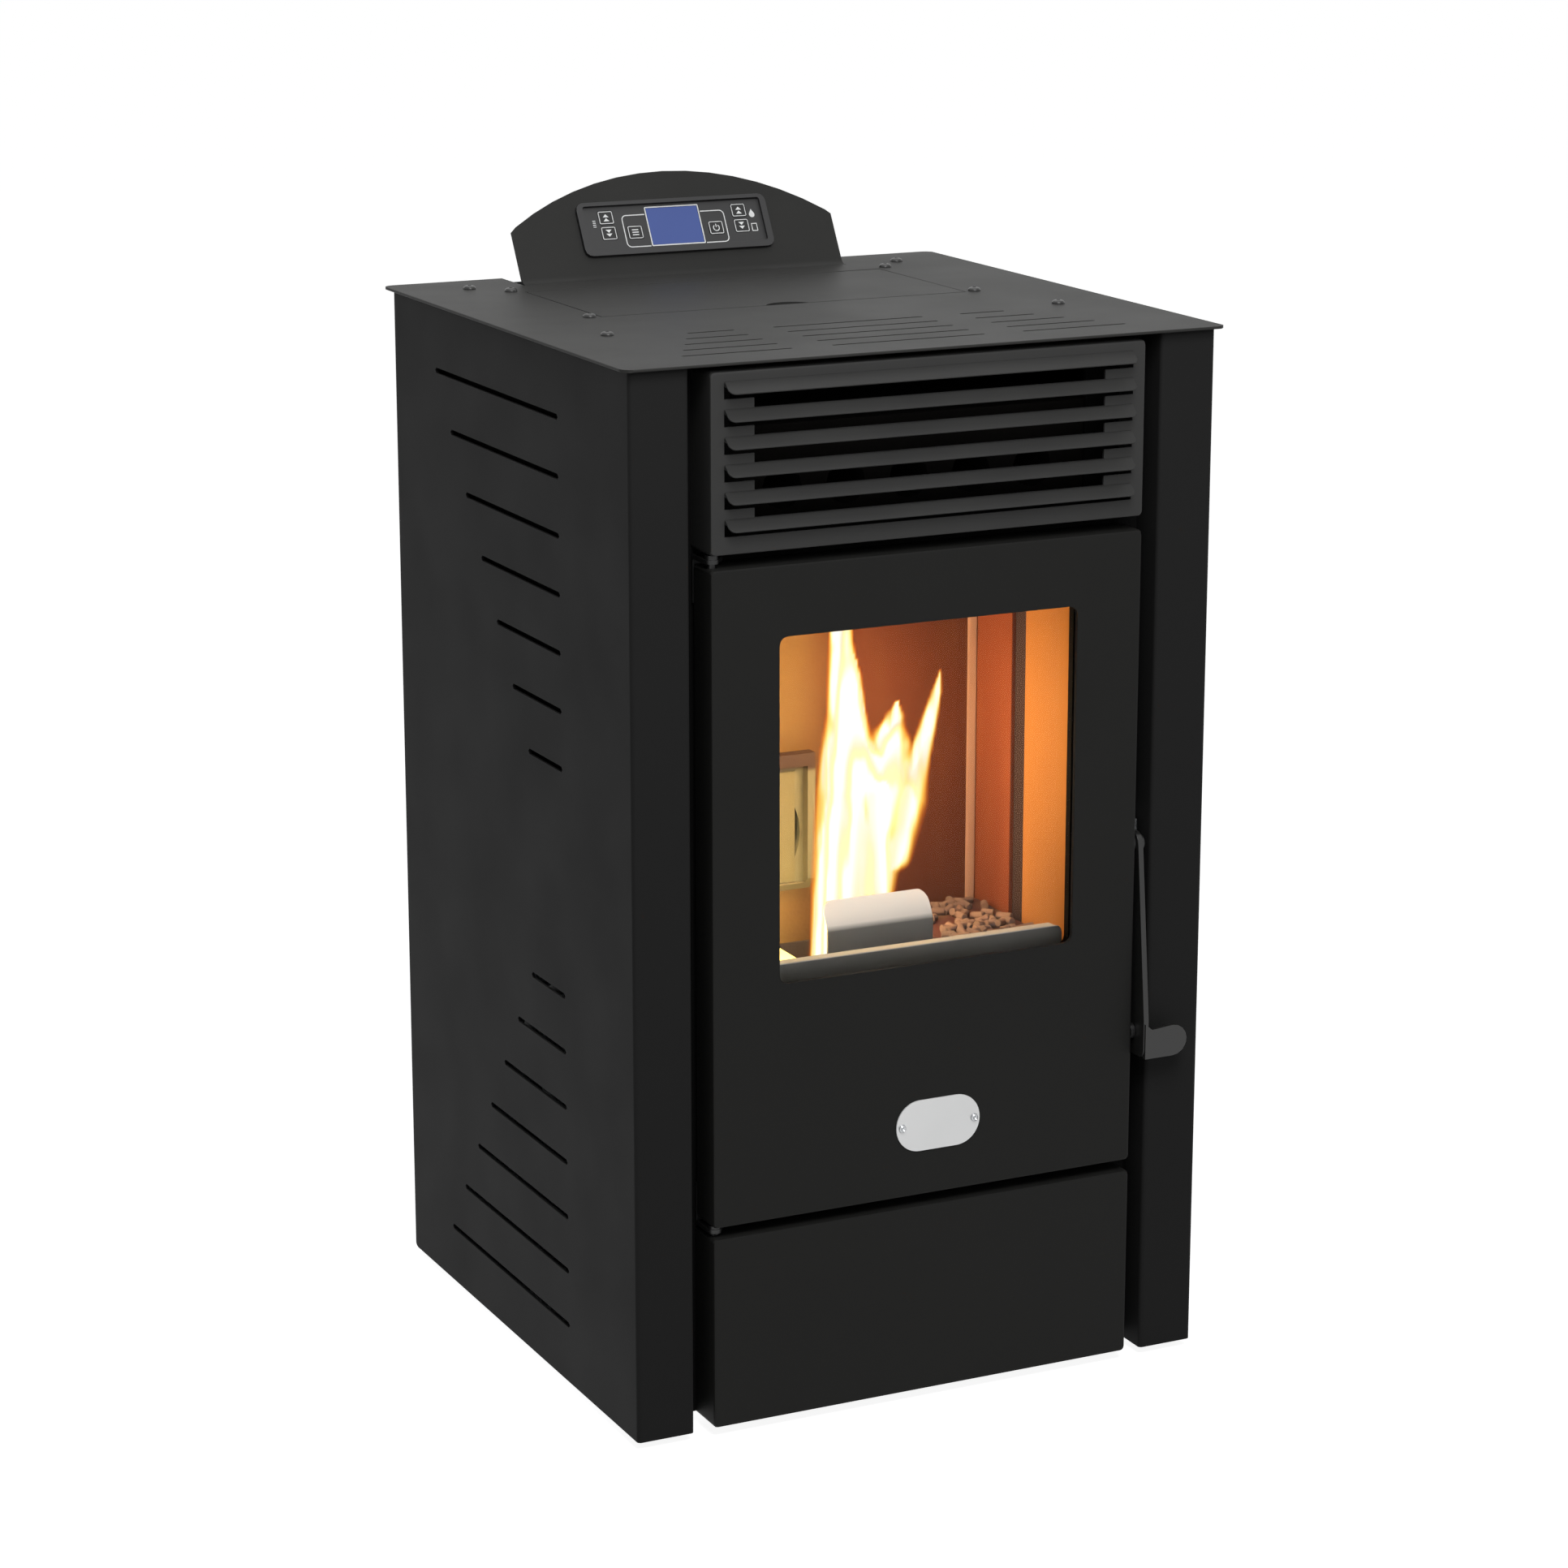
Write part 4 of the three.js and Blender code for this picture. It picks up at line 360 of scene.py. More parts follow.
@dataclass(frozen=True)
class Embers(Finish):
    """Glowing pellets: orange cracks between grey ash crusts."""

    strength: float = 3.0
    crust_mm: float = 7.0

    def material(self) -> Material:
        """Makes the ember material."""
        made = bpy.data.materials.get(self.name)
        if made:
            return made
        made = bpy.data.materials.new(self.name)
        made.use_nodes = True
        tree = made.node_tree
        tree.nodes.clear()
        coords = add_node(tree, "ShaderNodeTexCoord").outputs["Object"]
        crust = add_node(tree, "ShaderNodeTexNoise", {"Scale": 1.0 / (self.crust_mm * MM), "Detail": 5.0},
                         {"Vector": coords})
        heat = add_node(tree, "ShaderNodeValToRGB", links={"Fac": crust.outputs["Fac"]})
        heat.color_ramp.elements[0].position = 0.42
        heat.color_ramp.elements[0].color = linear("#ff8c2a")
        heat.color_ramp.elements[1].position = 0.6
        heat.color_ramp.elements[1].color = linear("#2a0c04")
        bump = add_node(tree, "ShaderNodeBump", {"Strength": 0.6, "Distance": 0.001},
                        {"Height": crust.outputs["Fac"]})
        shader = add_node(tree, "ShaderNodeBsdfPrincipled",
                          {"Base Color": linear(self.base), "Roughness": self.roughness,
                           "Emission Strength": self.strength},
                          {"Emission Color": heat.outputs["Color"], "Normal": bump.outputs[0]})
        add_node(tree, "ShaderNodeOutputMaterial", links={"Surface": shader.outputs[0]})
        return made


@dataclass(frozen=True)
class FlameGas(Finish):
    """Burning wood gas: each sheet carries its own heat, from clear orange edges to a white core."""

    strength: float = 1.35
    density: float = 0.88

    def material(self) -> Material:
        """Makes the flame material, which reads the heat written on each vertex."""
        made = bpy.data.materials.get(self.name)
        if made:
            return made
        made = bpy.data.materials.new(self.name)
        made.use_nodes = True
        tree = made.node_tree
        tree.nodes.clear()
        heat = add_node(tree, "ShaderNodeAttribute", attribute_name="warmth").outputs["Fac"]
        ramp = add_node(tree, "ShaderNodeValToRGB", links={"Fac": heat})
        stops = ((0.0, "#b84a12"), (0.2, "#ee8426"), (0.45, "#ffc24e"), (0.7, "#ffec9c"), (0.95, "#fffdf2"))
        bands = ramp.color_ramp
        for spot, colour in stops[1:-1]:
            bands.elements.new(spot).color = linear(colour)
        bands.elements[0].color = linear(stops[0][1])
        bands.elements[-1].color = linear(stops[-1][1])
        glow = add_node(tree, "ShaderNodeEmission", {"Strength": self.strength}, {"Color": ramp.outputs["Color"]})
        clear = add_node(tree, "ShaderNodeBsdfTransparent")
        share = add_node(tree, "ShaderNodeMapRange",
                         {"From Min": 0.0, "From Max": 0.75, "To Max": self.density}, {"Value": heat})
        mixed = add_node(tree, "ShaderNodeMixShader",
                         links={0: share.outputs[0], 1: clear.outputs[0], 2: glow.outputs[0]})
        add_node(tree, "ShaderNodeOutputMaterial", links={"Surface": mixed.outputs[0]})
        return made


COVER_PAINT = StovePaint("cover_paint_satin", "#232323", "#272727", roughness=0.6, gloss=0.05)
WORKTOP_PAINT = StovePaint("worktop_paint_satin", "#30302f", "#373736", roughness=0.5, peel=0.5, gloss=0.08)
DOOR_PAINT = StovePaint("door_paint_textured", "#1d1d1c", "#232322", roughness=0.5, grain_mm=1.1, peel=0.6, gloss=0.1)
LOUVRE_PAINT = StovePaint("louvre_paint_satin", "#313131", "#3a3a39", roughness=0.45, gloss=0.2)
FRAME_PAINT = StovePaint("frame_paint_matt", "#0c0c0c", "#111111", roughness=0.8, gloss=0.08)
LEVER_PAINT = StovePaint("lever_paint", "#1c1c1c", "#262625", roughness=0.3, gloss=0.5)
# Near-black sheets behind the cover slots and under the top plate: painted shade for the casing's dark inside.
SHIELD_PAINTED_SHADE = StovePaint("heat_shield_painted_shade", "#050505", "#080808", roughness=0.9, gloss=0.02)
ZINCED_SHEET = Galvanised("galvanised_sheet", "#9b9fa1", "#b9bcbd", metallic=1.0, roughness=0.42)
ZINC_PLATE = BrushedSheet("bright_zinc_plate", "#c5c7c9", "#a9abad", metallic=1.0, roughness=0.28)
HINGE_STEEL = BrushedSheet("blackened_hinge_steel", "#2e2e2e", "#414141", metallic=0.8, roughness=0.42)
STAINLESS = BrushedSheet("stainless_sheet", "#c9c9c6", "#a5a5a2", metallic=1.0, roughness=0.32)
# Grey below z 333–337 and near white above it: a painted highlight on the guard's slanted top part.
GUARD_STEEL_PAINTED_HIGHLIGHT = BrushedSheet("flame_guard_stainless_painted_highlight", "#6b6b69", "#e3e1dd", metallic=0.3, roughness=0.5,
                           run=(2, 333.0, 337.0), streak=0.1)
# Pale below z 424–427 and dark brown above it: painted shade over the chute frame's top bar.
CHUTE_STEEL_PAINTED_SHADE = CastIron("chute_steel_painted_shade_band", "#6f6852", "#3a2a22", metallic=0.1, roughness=0.7,
                       run=(2, 424.0, 427.0), streak=0.3)
BADGE_ALLOY = BrushedSheet("badge_anodised_aluminium", "#ececec", "#dddede", metallic=0.35, roughness=0.4)
FIRE_STEEL = CastIron("heat_scaled_steel", "#13110f", "#0d0c0b", metallic=0.0, roughness=0.9, ior=1.2)
GAP_STEEL = CastIron("sooted_gap_steel", "#35292a", "#2a2020", metallic=0.0, roughness=0.9, ior=1.2)
CHUTE_FLAP = CastIron("chute_flap_steel", "#756c50", "#665c42", metallic=0.1, roughness=0.75)
IRON = CastIron("sand_cast_iron", "#2c2a28", "#453b35", metallic=0.5, roughness=0.7)
# Pale olive left of x -40 and dark red-brown right of x 10: painted firelight glow on the hearth's left side.
HEARTH_IRON_PAINTED_FIRELIGHT = CastIron("hearth_iron_painted_firelight", "#6b664e", "#3c2824", metallic=0.1, roughness=0.85,
                       run=(0, -40.0, 10.0))
# Dark grey face with a pale band above z 332–332.6: a painted highlight along the rail's top edge.
RAIL_STEEL_PAINTED_HIGHLIGHT = BrushedSheet("rail_steel_painted_top_highlight", "#454543", "#8f8f8c", metallic=0.1, roughness=0.5,
                          run=(2, 332.0, 332.6), streak=0.05)
# Pale yellow-brown left of x -40 and dark brown right of x 20: painted firelight glow on the board's left side; the
# upright streaks are soot.
FIRE_BOARD_PAINTED_FIRELIGHT = FireBoard("fire_board", "#745a30", "#4a2412", roughness=0.9, run=(0, -40.0, 20.0))
SIDE_BRICK = FireBoard("fire_board_side", "#8a5a2a", "#66321a", roughness=0.85, run=(1, -130.0, -110.0))
# Pale yellow on the left ledge and dark brown on the right one: painted firelight glow along x.
LEDGE_PAINTED_FIRELIGHT = FireBoard("ledge_board_painted_firelight", "#b5a468", "#3d211a", roughness=0.9, run=(0, -20.0, 20.0))
BATTEN = FireBoard("fire_board_batten", "#a27f6c", "#8a6654", roughness=0.85)
ALLOY = CastIron("motor_die_cast_alloy", "#8b8d8e", "#77797a", metallic=1.0, roughness=0.45, sand_mm=0.8)
RUBBER = Moulding("foot_rubber", "#161616", "#1d1d1d", roughness=0.8)
ROPE = WovenRope("glass_fibre_rope", "#3a3833", "#2a2824", roughness=0.95)
BEZEL_PLASTIC = Moulding("bezel_abs", "#1a1a1b", "#202021", roughness=0.45)
MEMBRANE = Moulding("membrane_black_film", "#0c0c0d", "#131314", roughness=0.3)
LACQUER = Moulding("circuit_board_lacquer", "#1f5a34", "#184a2a", roughness=0.4)
PRINT = Moulding("white_screen_print", "#e6e8e8", "#f2f3f3", roughness=0.6)
SCREEN = BackLight("lcd_blue_window", "#2d3d70", "#34467c", roughness=0.2, strength=0.85)
GLASS = FireGlass("clear_glass_ceramic", "#ffffff", "#fbf6ee", roughness=0.02, uneven=0.01, ior=1.12)
EMBER = Embers("glowing_pellets", "#1c120c", "#1c120c", roughness=0.9)
ASH = CastIron("pellet_ash", "#331a14", "#8a7264", roughness=0.95, sand_mm=2.5)
FLAME = FlameGas("pellet_flame", "#ff8c2a", "#ffffff")

SLOT_FINISH: dict[str, Finish] = {
    "casing_black": COVER_PAINT,
    "worktop_grey": WORKTOP_PAINT,
    "door_black": DOOR_PAINT,
    "grille_grey": LOUVRE_PAINT,
    "galvanised_steel": ZINCED_SHEET,
    "firebox_steel": FIRE_STEEL,
    "stainless_steel": STAINLESS,
    "zinc_steel": ZINC_PLATE,
    "cast_iron": IRON,
    "vermiculite": FIRE_BOARD_PAINTED_FIRELIGHT,
    "motor_alloy": ALLOY,
    "rubber_foot": RUBBER,
    "rope_grey": ROPE,
    "black_plastic": BEZEL_PLASTIC,
    "key_plastic": MEMBRANE,
    "lcd_blue": SCREEN,
    "circuit_green": LACQUER,
    "clear_glass": GLASS,
}


# ---------------------------------------------------------------- mesh tools


def solid_of(node: str) -> BMesh:
    """Copies a frame node into a mesh with shared corners and whole flat faces.

    Args:
        node: The node's name.

    Returns:
        The merged copy, in metres.
    """
    bm = bmesh.new()
    bm.from_mesh(frame["nodes"][node].data)
    bmesh.ops.remove_doubles(bm, verts=bm.verts, dist=1e-5)
    bmesh.ops.dissolve_limit(bm, angle_limit=math.radians(0.4), use_dissolve_boundaries=False,
                             verts=bm.verts, edges=bm.edges)
    return bm


def round_edges(bm: BMesh, width: float, segments: int = 2, sharper_than: float = 35.0,
                longer_than: float = 4.0) -> BMesh:
    """Rounds the long sharp edges of a mesh.

    Args:
        bm: The mesh, changed in place.
        width: The bevel's width in millimetres.
        segments: Steps across the round.
        sharper_than: The least angle of an edge that is rounded, in degrees.
        longer_than: The least length of an edge that is rounded, in millimetres.

    Returns:
        The same mesh.
    """
    limit = math.radians(sharper_than)
    edges = [e for e in bm.edges
             if len(e.link_faces) == 2 and e.calc_face_angle(0.0) > limit
             and e.calc_length() > longer_than * MM]
    bmesh.ops.bevel(bm, geom=edges, offset=width * MM, offset_type="OFFSET", affect="EDGES",
                    segments=segments, profile=0.5, material=-1, clamp_overlap=True)
    return bm


def piece(name: str, bm: BMesh, finish: Finish, body: str, stands_for: tuple[str, ...] = (),
          smooth_below: float = 32.0) -> Object:
    """Turns a mesh into a finished piece of the stove.

    Args:
        name: The piece's name.
        bm: Its mesh, in metres; it is freed here.
        finish: Its surface.
        body: The body that it rides on.
        stands_for: The frame nodes that it is shown in place of.
        smooth_below: Edges flatter than this many degrees are shaded smooth.

    Returns:
        The new object.
    """
    mesh = bpy.data.meshes.new(name)
    bm.to_mesh(mesh)
    bm.free()
    mesh.shade_smooth()
    mesh.set_sharp_from_angle(angle=math.radians(smooth_below))
    mesh.materials.clear()
    mesh.materials.append(finish.material())
    made = bpy.data.objects.new(name, mesh)
    bpy.context.scene.collection.objects.link(made)
    if finish is not FLAME:
        made.modifiers.new("flat_faces_first", "WEIGHTED_NORMAL").keep_sharp = True
    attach(made, body)
    if stands_for:
        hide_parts(*stands_for)
    log.info("%s: %d faces on %s", name, len(mesh.polygons), body)
    return made


def turned(profile: list[tuple[float, float]], steps: int, place: Matrix) -> BMesh:
    """Spins a profile round the Z axis into a closed body.

    Args:
        profile: Radius and height pairs in millimetres, from axis to axis or round a ring.
        steps: Facets of the full turn.
        place: Where the turned body goes.

    Returns:
        The mesh, in metres.
    """
    bm = bmesh.new()
    verts = [bm.verts.new((r * MM, 0.0, z * MM)) for r, z in profile]
    edges = [bm.edges.new(pair) for pair in zip(verts, verts[1:])]
    bmesh.ops.spin(bm, geom=verts + edges, cent=(0, 0, 0), axis=(0, 0, 1), angle=math.tau,
                   steps=steps, use_merge=True)
    bmesh.ops.remove_doubles(bm, verts=bm.verts, dist=1e-6)
    bmesh.ops.dissolve_degenerate(bm, edges=bm.edges, dist=1e-7)
    bmesh.ops.recalc_face_normals(bm, faces=bm.faces)
    bmesh.ops.transform(bm, matrix=place, verts=bm.verts)
    return bm


def plate(outline: list[tuple[float, float]], thickness: float, place: Matrix) -> BMesh:
    """Extrudes a flat outline into a plate.

    Args:
        outline: Corner points (u, v) in millimetres, anticlockwise.
        thickness: How far it is extruded along its own +Z, in millimetres.
        place: Where the plate goes.

    Returns:
        The mesh, in metres.
    """
    bm = bmesh.new()
    face = bm.faces.new([bm.verts.new((u * MM, v * MM, 0.0)) for u, v in outline])
    lifted = bmesh.ops.extrude_face_region(bm, geom=[face])
    corners = [item for item in lifted["geom"] if isinstance(item, bmesh.types.BMVert)]
    bmesh.ops.translate(bm, verts=corners, vec=(0.0, 0.0, thickness * MM))
    bmesh.ops.recalc_face_normals(bm, faces=bm.faces)
    bmesh.ops.transform(bm, matrix=place, verts=bm.verts)
    return bm


def holed_plate(outer: tuple[float, float, float, float], hole: tuple[float, float, float, float],
                thickness: float, place: Matrix) -> BMesh:
    """Extrudes a rectangle with a rectangular hole into a plate.

    Args:
        outer: The plate's lowest and highest u and v, as (u, v, u, v) in millimetres.
        hole: The hole's, in the same order.
        thickness: How far it is extruded along its own +Z.
        place: Where the plate goes.

    Returns:
        The mesh, in metres.
    """
    bm = bmesh.new()
    rims = []
    for u0, v0, u1, v1 in (outer, hole):
        corners = [bm.verts.new((u * MM, v * MM, 0.0)) for u, v in ((u0, v0), (u1, v0), (u1, v1), (u0, v1))]
        rims += [bm.edges.new((corners[i], corners[(i + 1) % 4])) for i in range(4)]
    bmesh.ops.bridge_loops(bm, edges=rims)
    lifted = bmesh.ops.extrude_face_region(bm, geom=bm.faces[:])
    raised = [item for item in lifted["geom"] if isinstance(item, bmesh.types.BMVert)]
    bmesh.ops.translate(bm, verts=raised, vec=(0.0, 0.0, thickness * MM))
    bmesh.ops.recalc_face_normals(bm, faces=bm.faces)
    bmesh.ops.transform(bm, matrix=place, verts=bm.verts)
    return bm


def merged(parts: list[BMesh]) -> BMesh:
    """Puts several meshes into one and frees them."""
    whole = bmesh.new()
    for part in parts:
        carrier = bpy.data.meshes.new("carrier")
        part.to_mesh(carrier)
        part.free()
        whole.from_mesh(carrier)
        bpy.data.meshes.remove(carrier)
    return whole


def arc_points(cu: float, cv: float, radius: float, start: float, end: float, steps: int) -> list[tuple[float, float]]:
    """Gives points along an arc, in the units of its radius, with angles in degrees."""
    angles = [math.radians(start + (end - start) * i / steps) for i in range(steps + 1)]
    return [(cu + radius * math.cos(a), cv + radius * math.sin(a)) for a in angles]


def rounded_box(half_u: float, half_v: float, radius: float, steps: int = 6) -> list[tuple[float, float]]:
    """Gives the outline of a centred rectangle with round corners."""
    u, v = half_u - radius, half_v - radius
    return (arc_points(u, -v, radius, -90, 0, steps) + arc_points(u, v, radius, 0, 90, steps)
            + arc_points(-u, v, radius, 90, 180, steps) + arc_points(-u, -v, radius, 180, 270, steps))


def stroke(points: list[tuple[float, float]], width: float) -> list[tuple[float, float]]:
    """Widens an open line into the outline of a printed stroke.

    Args:
        points: The line's points.
        width: The stroke's width.

    Returns:
        The stroke's outline.
    """
    left, right = [], []
    for i, (u, v) in enumerate(points):
        before = Vector(points[max(i - 1, 0)])
        after = Vector(points[min(i + 1, len(points) - 1)])
        run = (after - before).normalized()
        aside = Vector((-run.y, run.x)) * (width / 2)
        left.append((u + aside.x, v + aside.y))
        right.append((u - aside.x, v - aside.y))
    return right + left[::-1]


# ---------------------------------------------------------------- casing


@dataclass
class Casing:
    """The folded covers, the back, the tray and its feet.

    Attributes:
        pipe_steps: Facets round each pipe stub.
        flue: The flue stub: x, z, outer and inner radius, and where it starts and ends.
        intake: The air intake, in the same order.
        shield: The side heat shields: half spread, lowest, highest, front and back.
        top_shield: The upper heat shield: x, y, x, y and its height.
    """

    pipe_steps: int = 72
    flue: tuple[float, float, float, float, float, float] = (-87.0, 165.0, 40.0, 38.5, 156.0, 248.0)
    intake: tuple[float, float, float, float, float, float] = (80.0, 215.0, 25.0, 23.5, -50.0, 228.0)
    shield: tuple[float, float, float, float, float] = (214.0, 380.0, 738.0, -170.0, 180.0)
    top_shield: tuple[float, float, float, float, float] = (-150.0, -190.0, 150.0, -40.0, 744.0)

    def covers(self) -> None:
        """Rounds and paints the two side covers."""
        for side in ("left", "right"):
            bm = round_edges(solid_of(f"side_cover_{side}"), Edge.CUT.value, 1, longer_than=12.0)
            piece(f"cover_sheet_{side}", bm, COVER_PAINT, Body.CASING.value,
                  (f"side_cover_{side}",))

    def pipes(self) -> None:
        """Turns the flue stub and the air intake."""
        for name, node, slot, finish, sizes in (
                ("flue_stub", "flue_pipe", "casing_black", COVER_PAINT, self.flue),
                ("intake_stub", "air_intake_pipe", "galvanised_steel", ZINCED_SHEET, self.intake)):
            x, z, outer, inner, start, end = sizes
            ring = [(inner, start), (outer, start), (outer, end - 0.4), (outer - 0.3, end), (inner + 0.3, end),
                    (inner, end - 0.4), (inner, start)]
            place = Matrix.Translation((x * MM, 0.0, z * MM)) @ Matrix.Rotation(math.radians(-90), 4, "X")
            piece(name, turned(ring, self.pipe_steps, place), finish, Body.CASING.value, (node,))

    def feet(self) -> None:
        """Turns the four rubber feet."""
        profile = [(0, 0), (16, 0), (17, 1), (15.2, 8.6), (14.5, 9.4), (8, 10),
                   (8, 16), (4, 16), (4, 29), (3, 30), (0, 30)]
        for place in ("front_left", "front_right", "rear_left", "rear_right"):
            low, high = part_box(f"foot_{place}")
            spot = ((low[0] + high[0]) / 2, (low[1] + high[1]) / 2, 0.0)
            piece(f"rubber_foot_{place}", turned(profile, 40, Matrix.Translation(spot)), RUBBER,
                  Body.CASING.value, (f"foot_{place}",))

    def shields(self) -> None:
        """Hangs a thin matt heat shield behind the slots of each cover, painted near-black as shade for the casing's
        dark inside.
        """
        depth, low, high, front, back = self.shield
        for side, sign in (("left", -1.0), ("right", 1.0)):
            near, far = sorted((sign * (depth - 0.8), sign * depth))
            outline = [(near, front), (far, front), (far, back), (near, back)]
            piece(f"heat_shield_{side}", plate(outline, high - low, Matrix.Translation((0.0, 0.0, low * MM))),
                  SHIELD_PAINTED_SHADE, Body.CASING.value)
        x0, y0, x1, y1, z = self.top_shield
        piece("heat_shield_top", plate([(x0, y0), (x1, y0), (x1, y1), (x0, y1)], 0.8,
                                       Matrix.Translation((0.0, 0.0, z * MM))),
              SHIELD_PAINTED_SHADE, Body.CASING.value)

    def build(self) -> None:
        """Builds the casing's pieces."""
        self.covers()
        self.shields()
        self.pipes()
        self.feet()


# ---------------------------------------------------------------- worktop


@dataclass
class Worktop:
    """The top plate with its upturned panel, the hopper lid and the screws that hold them.

    Attributes:
        screw_spots: Where the button-head screws stand, in millimetres.
        screw_radius: The head's radius.
        screw_height: The head's height.
        top: The plate's upper face.
    """

    screw_spots: tuple[tuple[float, float], ...] = (
        (-176.0, 161.0), (176.0, 161.0), (-176.0, -92.0), (176.0, -92.0),
        (-153.5, 136.0), (153.5, 136.0), (-153.0, -8.0), (153.0, -8.0))
    screw_radius: float = 4.65
    screw_height: float = 2.6
    top: float = 756.0

    def sheets(self) -> None:
        """Rounds and paints the plate and the lid."""
        bm = round_edges(solid_of("top_plate"), Edge.BENT.value, 3, longer_than=130.0)
        piece("worktop_sheet", bm, WORKTOP_PAINT, Body.CASING.value, ("top_plate",))
        bm = round_edges(solid_of("hopper_lid"), Edge.CUT.value, 2, longer_than=9.0)
        piece("lid_sheet", bm, WORKTOP_PAINT, Body.LID.value, ("hopper_lid",))

    def screws(self) -> None:
        """Turns the button-head screws with their hexagon sockets."""
        r, h = self.screw_radius, self.screw_height
        dome = [(0.0, h - 1.4), (1.35, h - 1.4), (1.5, h)] + [
            (1.5 + (r - 1.5) * math.sin(a), 0.5 + (h - 0.5) * math.cos(a))
            for a in (math.radians(k * 15) for k in range(1, 7))] + [(r, 0.0), (0.0, 0.0)]
        heads = []
        for x, y in self.screw_spots:
            heads.append(turned(dome, 24, Matrix.Translation((x * MM, y * MM, self.top * MM))))
        piece("worktop_screws", merged(heads), LEVER_PAINT, Body.CASING.value)

    def build(self) -> None:
        """Builds the worktop's pieces."""
        self.sheets()
        self.screws()


# ---------------------------------------------------------------- control unit


@dataclass
class ControlUnit:
    """The display unit on the leaning panel, with its printed lines and symbols.

    Attributes:
        foot: Where the panel's own frame stands, in millimetres.
        lean: The panel's lean in degrees.
        ink: Thickness of the print.
        line: Width of a printed line.
        face: The membrane's face, along the panel's own y.
    """

    foot: tuple[float, float, float] = (0.0, 165.0, 756.0)
    lean: float = 30.0
    ink: float = 0.06
    line: float = 0.75
    face: float = -1.0
    keys: dict[str, tuple[float, float, str]] = field(default_factory=lambda: {
        "key_left_up": (-54.8, 48.6, "key_1"), "key_left_down": (-54.8, 36.0, "key_2"),
        "key_menu": (-33.4, 35.6, "key_3"), "key_power": (33.4, 35.6, "key_4"),
        "key_right_up": (54.8, 48.6, "key_5"), "key_right_down": (54.8, 36.0, "key_6")})

    def place(self, u: float, v: float, depth: float) -> Matrix:
        """Gives where a flat drawing goes on the panel.

        Args:
            u: Across the panel, in millimetres.
            v: Up the panel from its foot.
            depth: Into the panel, so negative stands proud.

        Returns:
            A matrix for a drawing in its own XY plane, facing +Z.
        """
        stand = Matrix.Translation(Vector(self.foot) * MM) @ Matrix.Rotation(math.radians(-self.lean), 4, "X")
        return (stand @ Matrix.Translation((u * MM, depth * MM, v * MM))
                @ Matrix.Rotation(math.radians(90), 4, "X"))

    def printed(self, name: str, outlines: list[list[tuple[float, float]]], u: float, v: float, depth: float,
                body: str) -> None:
        """Prints flat shapes on the panel.

        Args:
            name: The piece's name.
            outlines: Shapes around the point (u, v).
            u: Across the panel.
            v: Up the panel.
            depth: The surface that takes the ink.
            body: The body that it rides on.
        """
        shapes = [plate(outline, self.ink, self.place(u, v, depth)) for outline in outlines]
        piece(name, merged(shapes), PRINT, body)

    def ring(self, half_u: float, half_v: float, radius: float, width: float) -> list[list[tuple[float, float]]]:
        """Gives a closed frame line as two halves that meet."""
        outer = rounded_box(half_u, half_v, radius)
        inner = rounded_box(half_u - width, half_v - width, max(radius - width, 0.2))
        half = len(outer) // 2
        first = outer[:half + 1] + inner[:half + 1][::-1]
        second = outer[half:] + [outer[0]] + [inner[0]] + inner[half:][::-1]
        return [first, second]

    def chevrons(self, up: bool) -> list[list[tuple[float, float]]]:
        """Gives the double arrow of a key."""
        side = 1.0 if up else -1.0
        shapes = []
        for base in (-2.9, 0.3):
            tip = [(-2.4, side * base), (0.0, side * (base + 2.5)), (2.4, side * base)]
            shapes.append(tip[::-1] if up else tip)
        return shapes

    def mouldings(self) -> None:
        """Rounds the bezel and dresses the display and the keys."""
        bm = round_edges(solid_of("display_bezel"), 0.5, 2, longer_than=3.0)
        piece("bezel_moulding", bm, BEZEL_PLASTIC, Body.CASING.value, ("display_bezel",))
        frame["nodes"]["lcd_window"].data.materials.clear()
        frame["nodes"]["lcd_window"].data.materials.append(SCREEN.material())
        for node, (_, _, body) in self.keys.items():
            bm = round_edges(solid_of(node), 0.2, 2, longer_than=0.5)
            piece(f"{node}_cap", bm, MEMBRANE, body, (node,))

    def symbols(self) -> None:
        """Prints the key symbols."""
        cap_face = self.face - 0.2
        key_ring = self.ring(5.7, 5.0, 1.2, 0.55)
        for node, (u, v, body) in self.keys.items():
            shapes = list(key_ring)
            if node.endswith("_up"):
                shapes += self.chevrons(True)
            elif node.endswith("_down"):
                shapes += self.chevrons(False)
            elif node == "key_power":
                shapes.append(stroke(arc_points(0, -0.2, 2.4, 125, 415, 14), 0.7))
                shapes.append(stroke([(0.0, 0.2), (0.0, 3.0)], 0.7))
            else:
                shapes += [stroke([(-2.6, h), (2.6, h)], 0.8) for h in (-2.0, 0.0, 2.0)]
            self.printed(f"{node}_symbol", shapes, u, v, cap_face, body)

    def lines(self) -> None:
        """Prints the frame lines on the membrane."""
        shapes = []
        for side in (-1.0, 1.0):
            run = ([(side * 23.0, 49.5), (side * 38.5, 49.5)]
                   + [(side * u, v) for u, v in arc_points(38.5, 46.0, 3.5, 90, 0, 5)[1:]]
                   + [(side * 42.0, 31.0)]
                   + [(side * u, v) for u, v in arc_points(38.5, 27.5, 3.5, 0, -90, 5)]
                   + [(side * 23.0, 24.0)])
            shapes.append(stroke(run, self.line))
        shapes += [[(u, v + 39.55) for u, v in half] for half in self.ring(22.2, 15.9, 1.0, 0.9)]
        self.printed("panel_lines", shapes, 0.0, 0.0, self.face, Body.CASING.value)

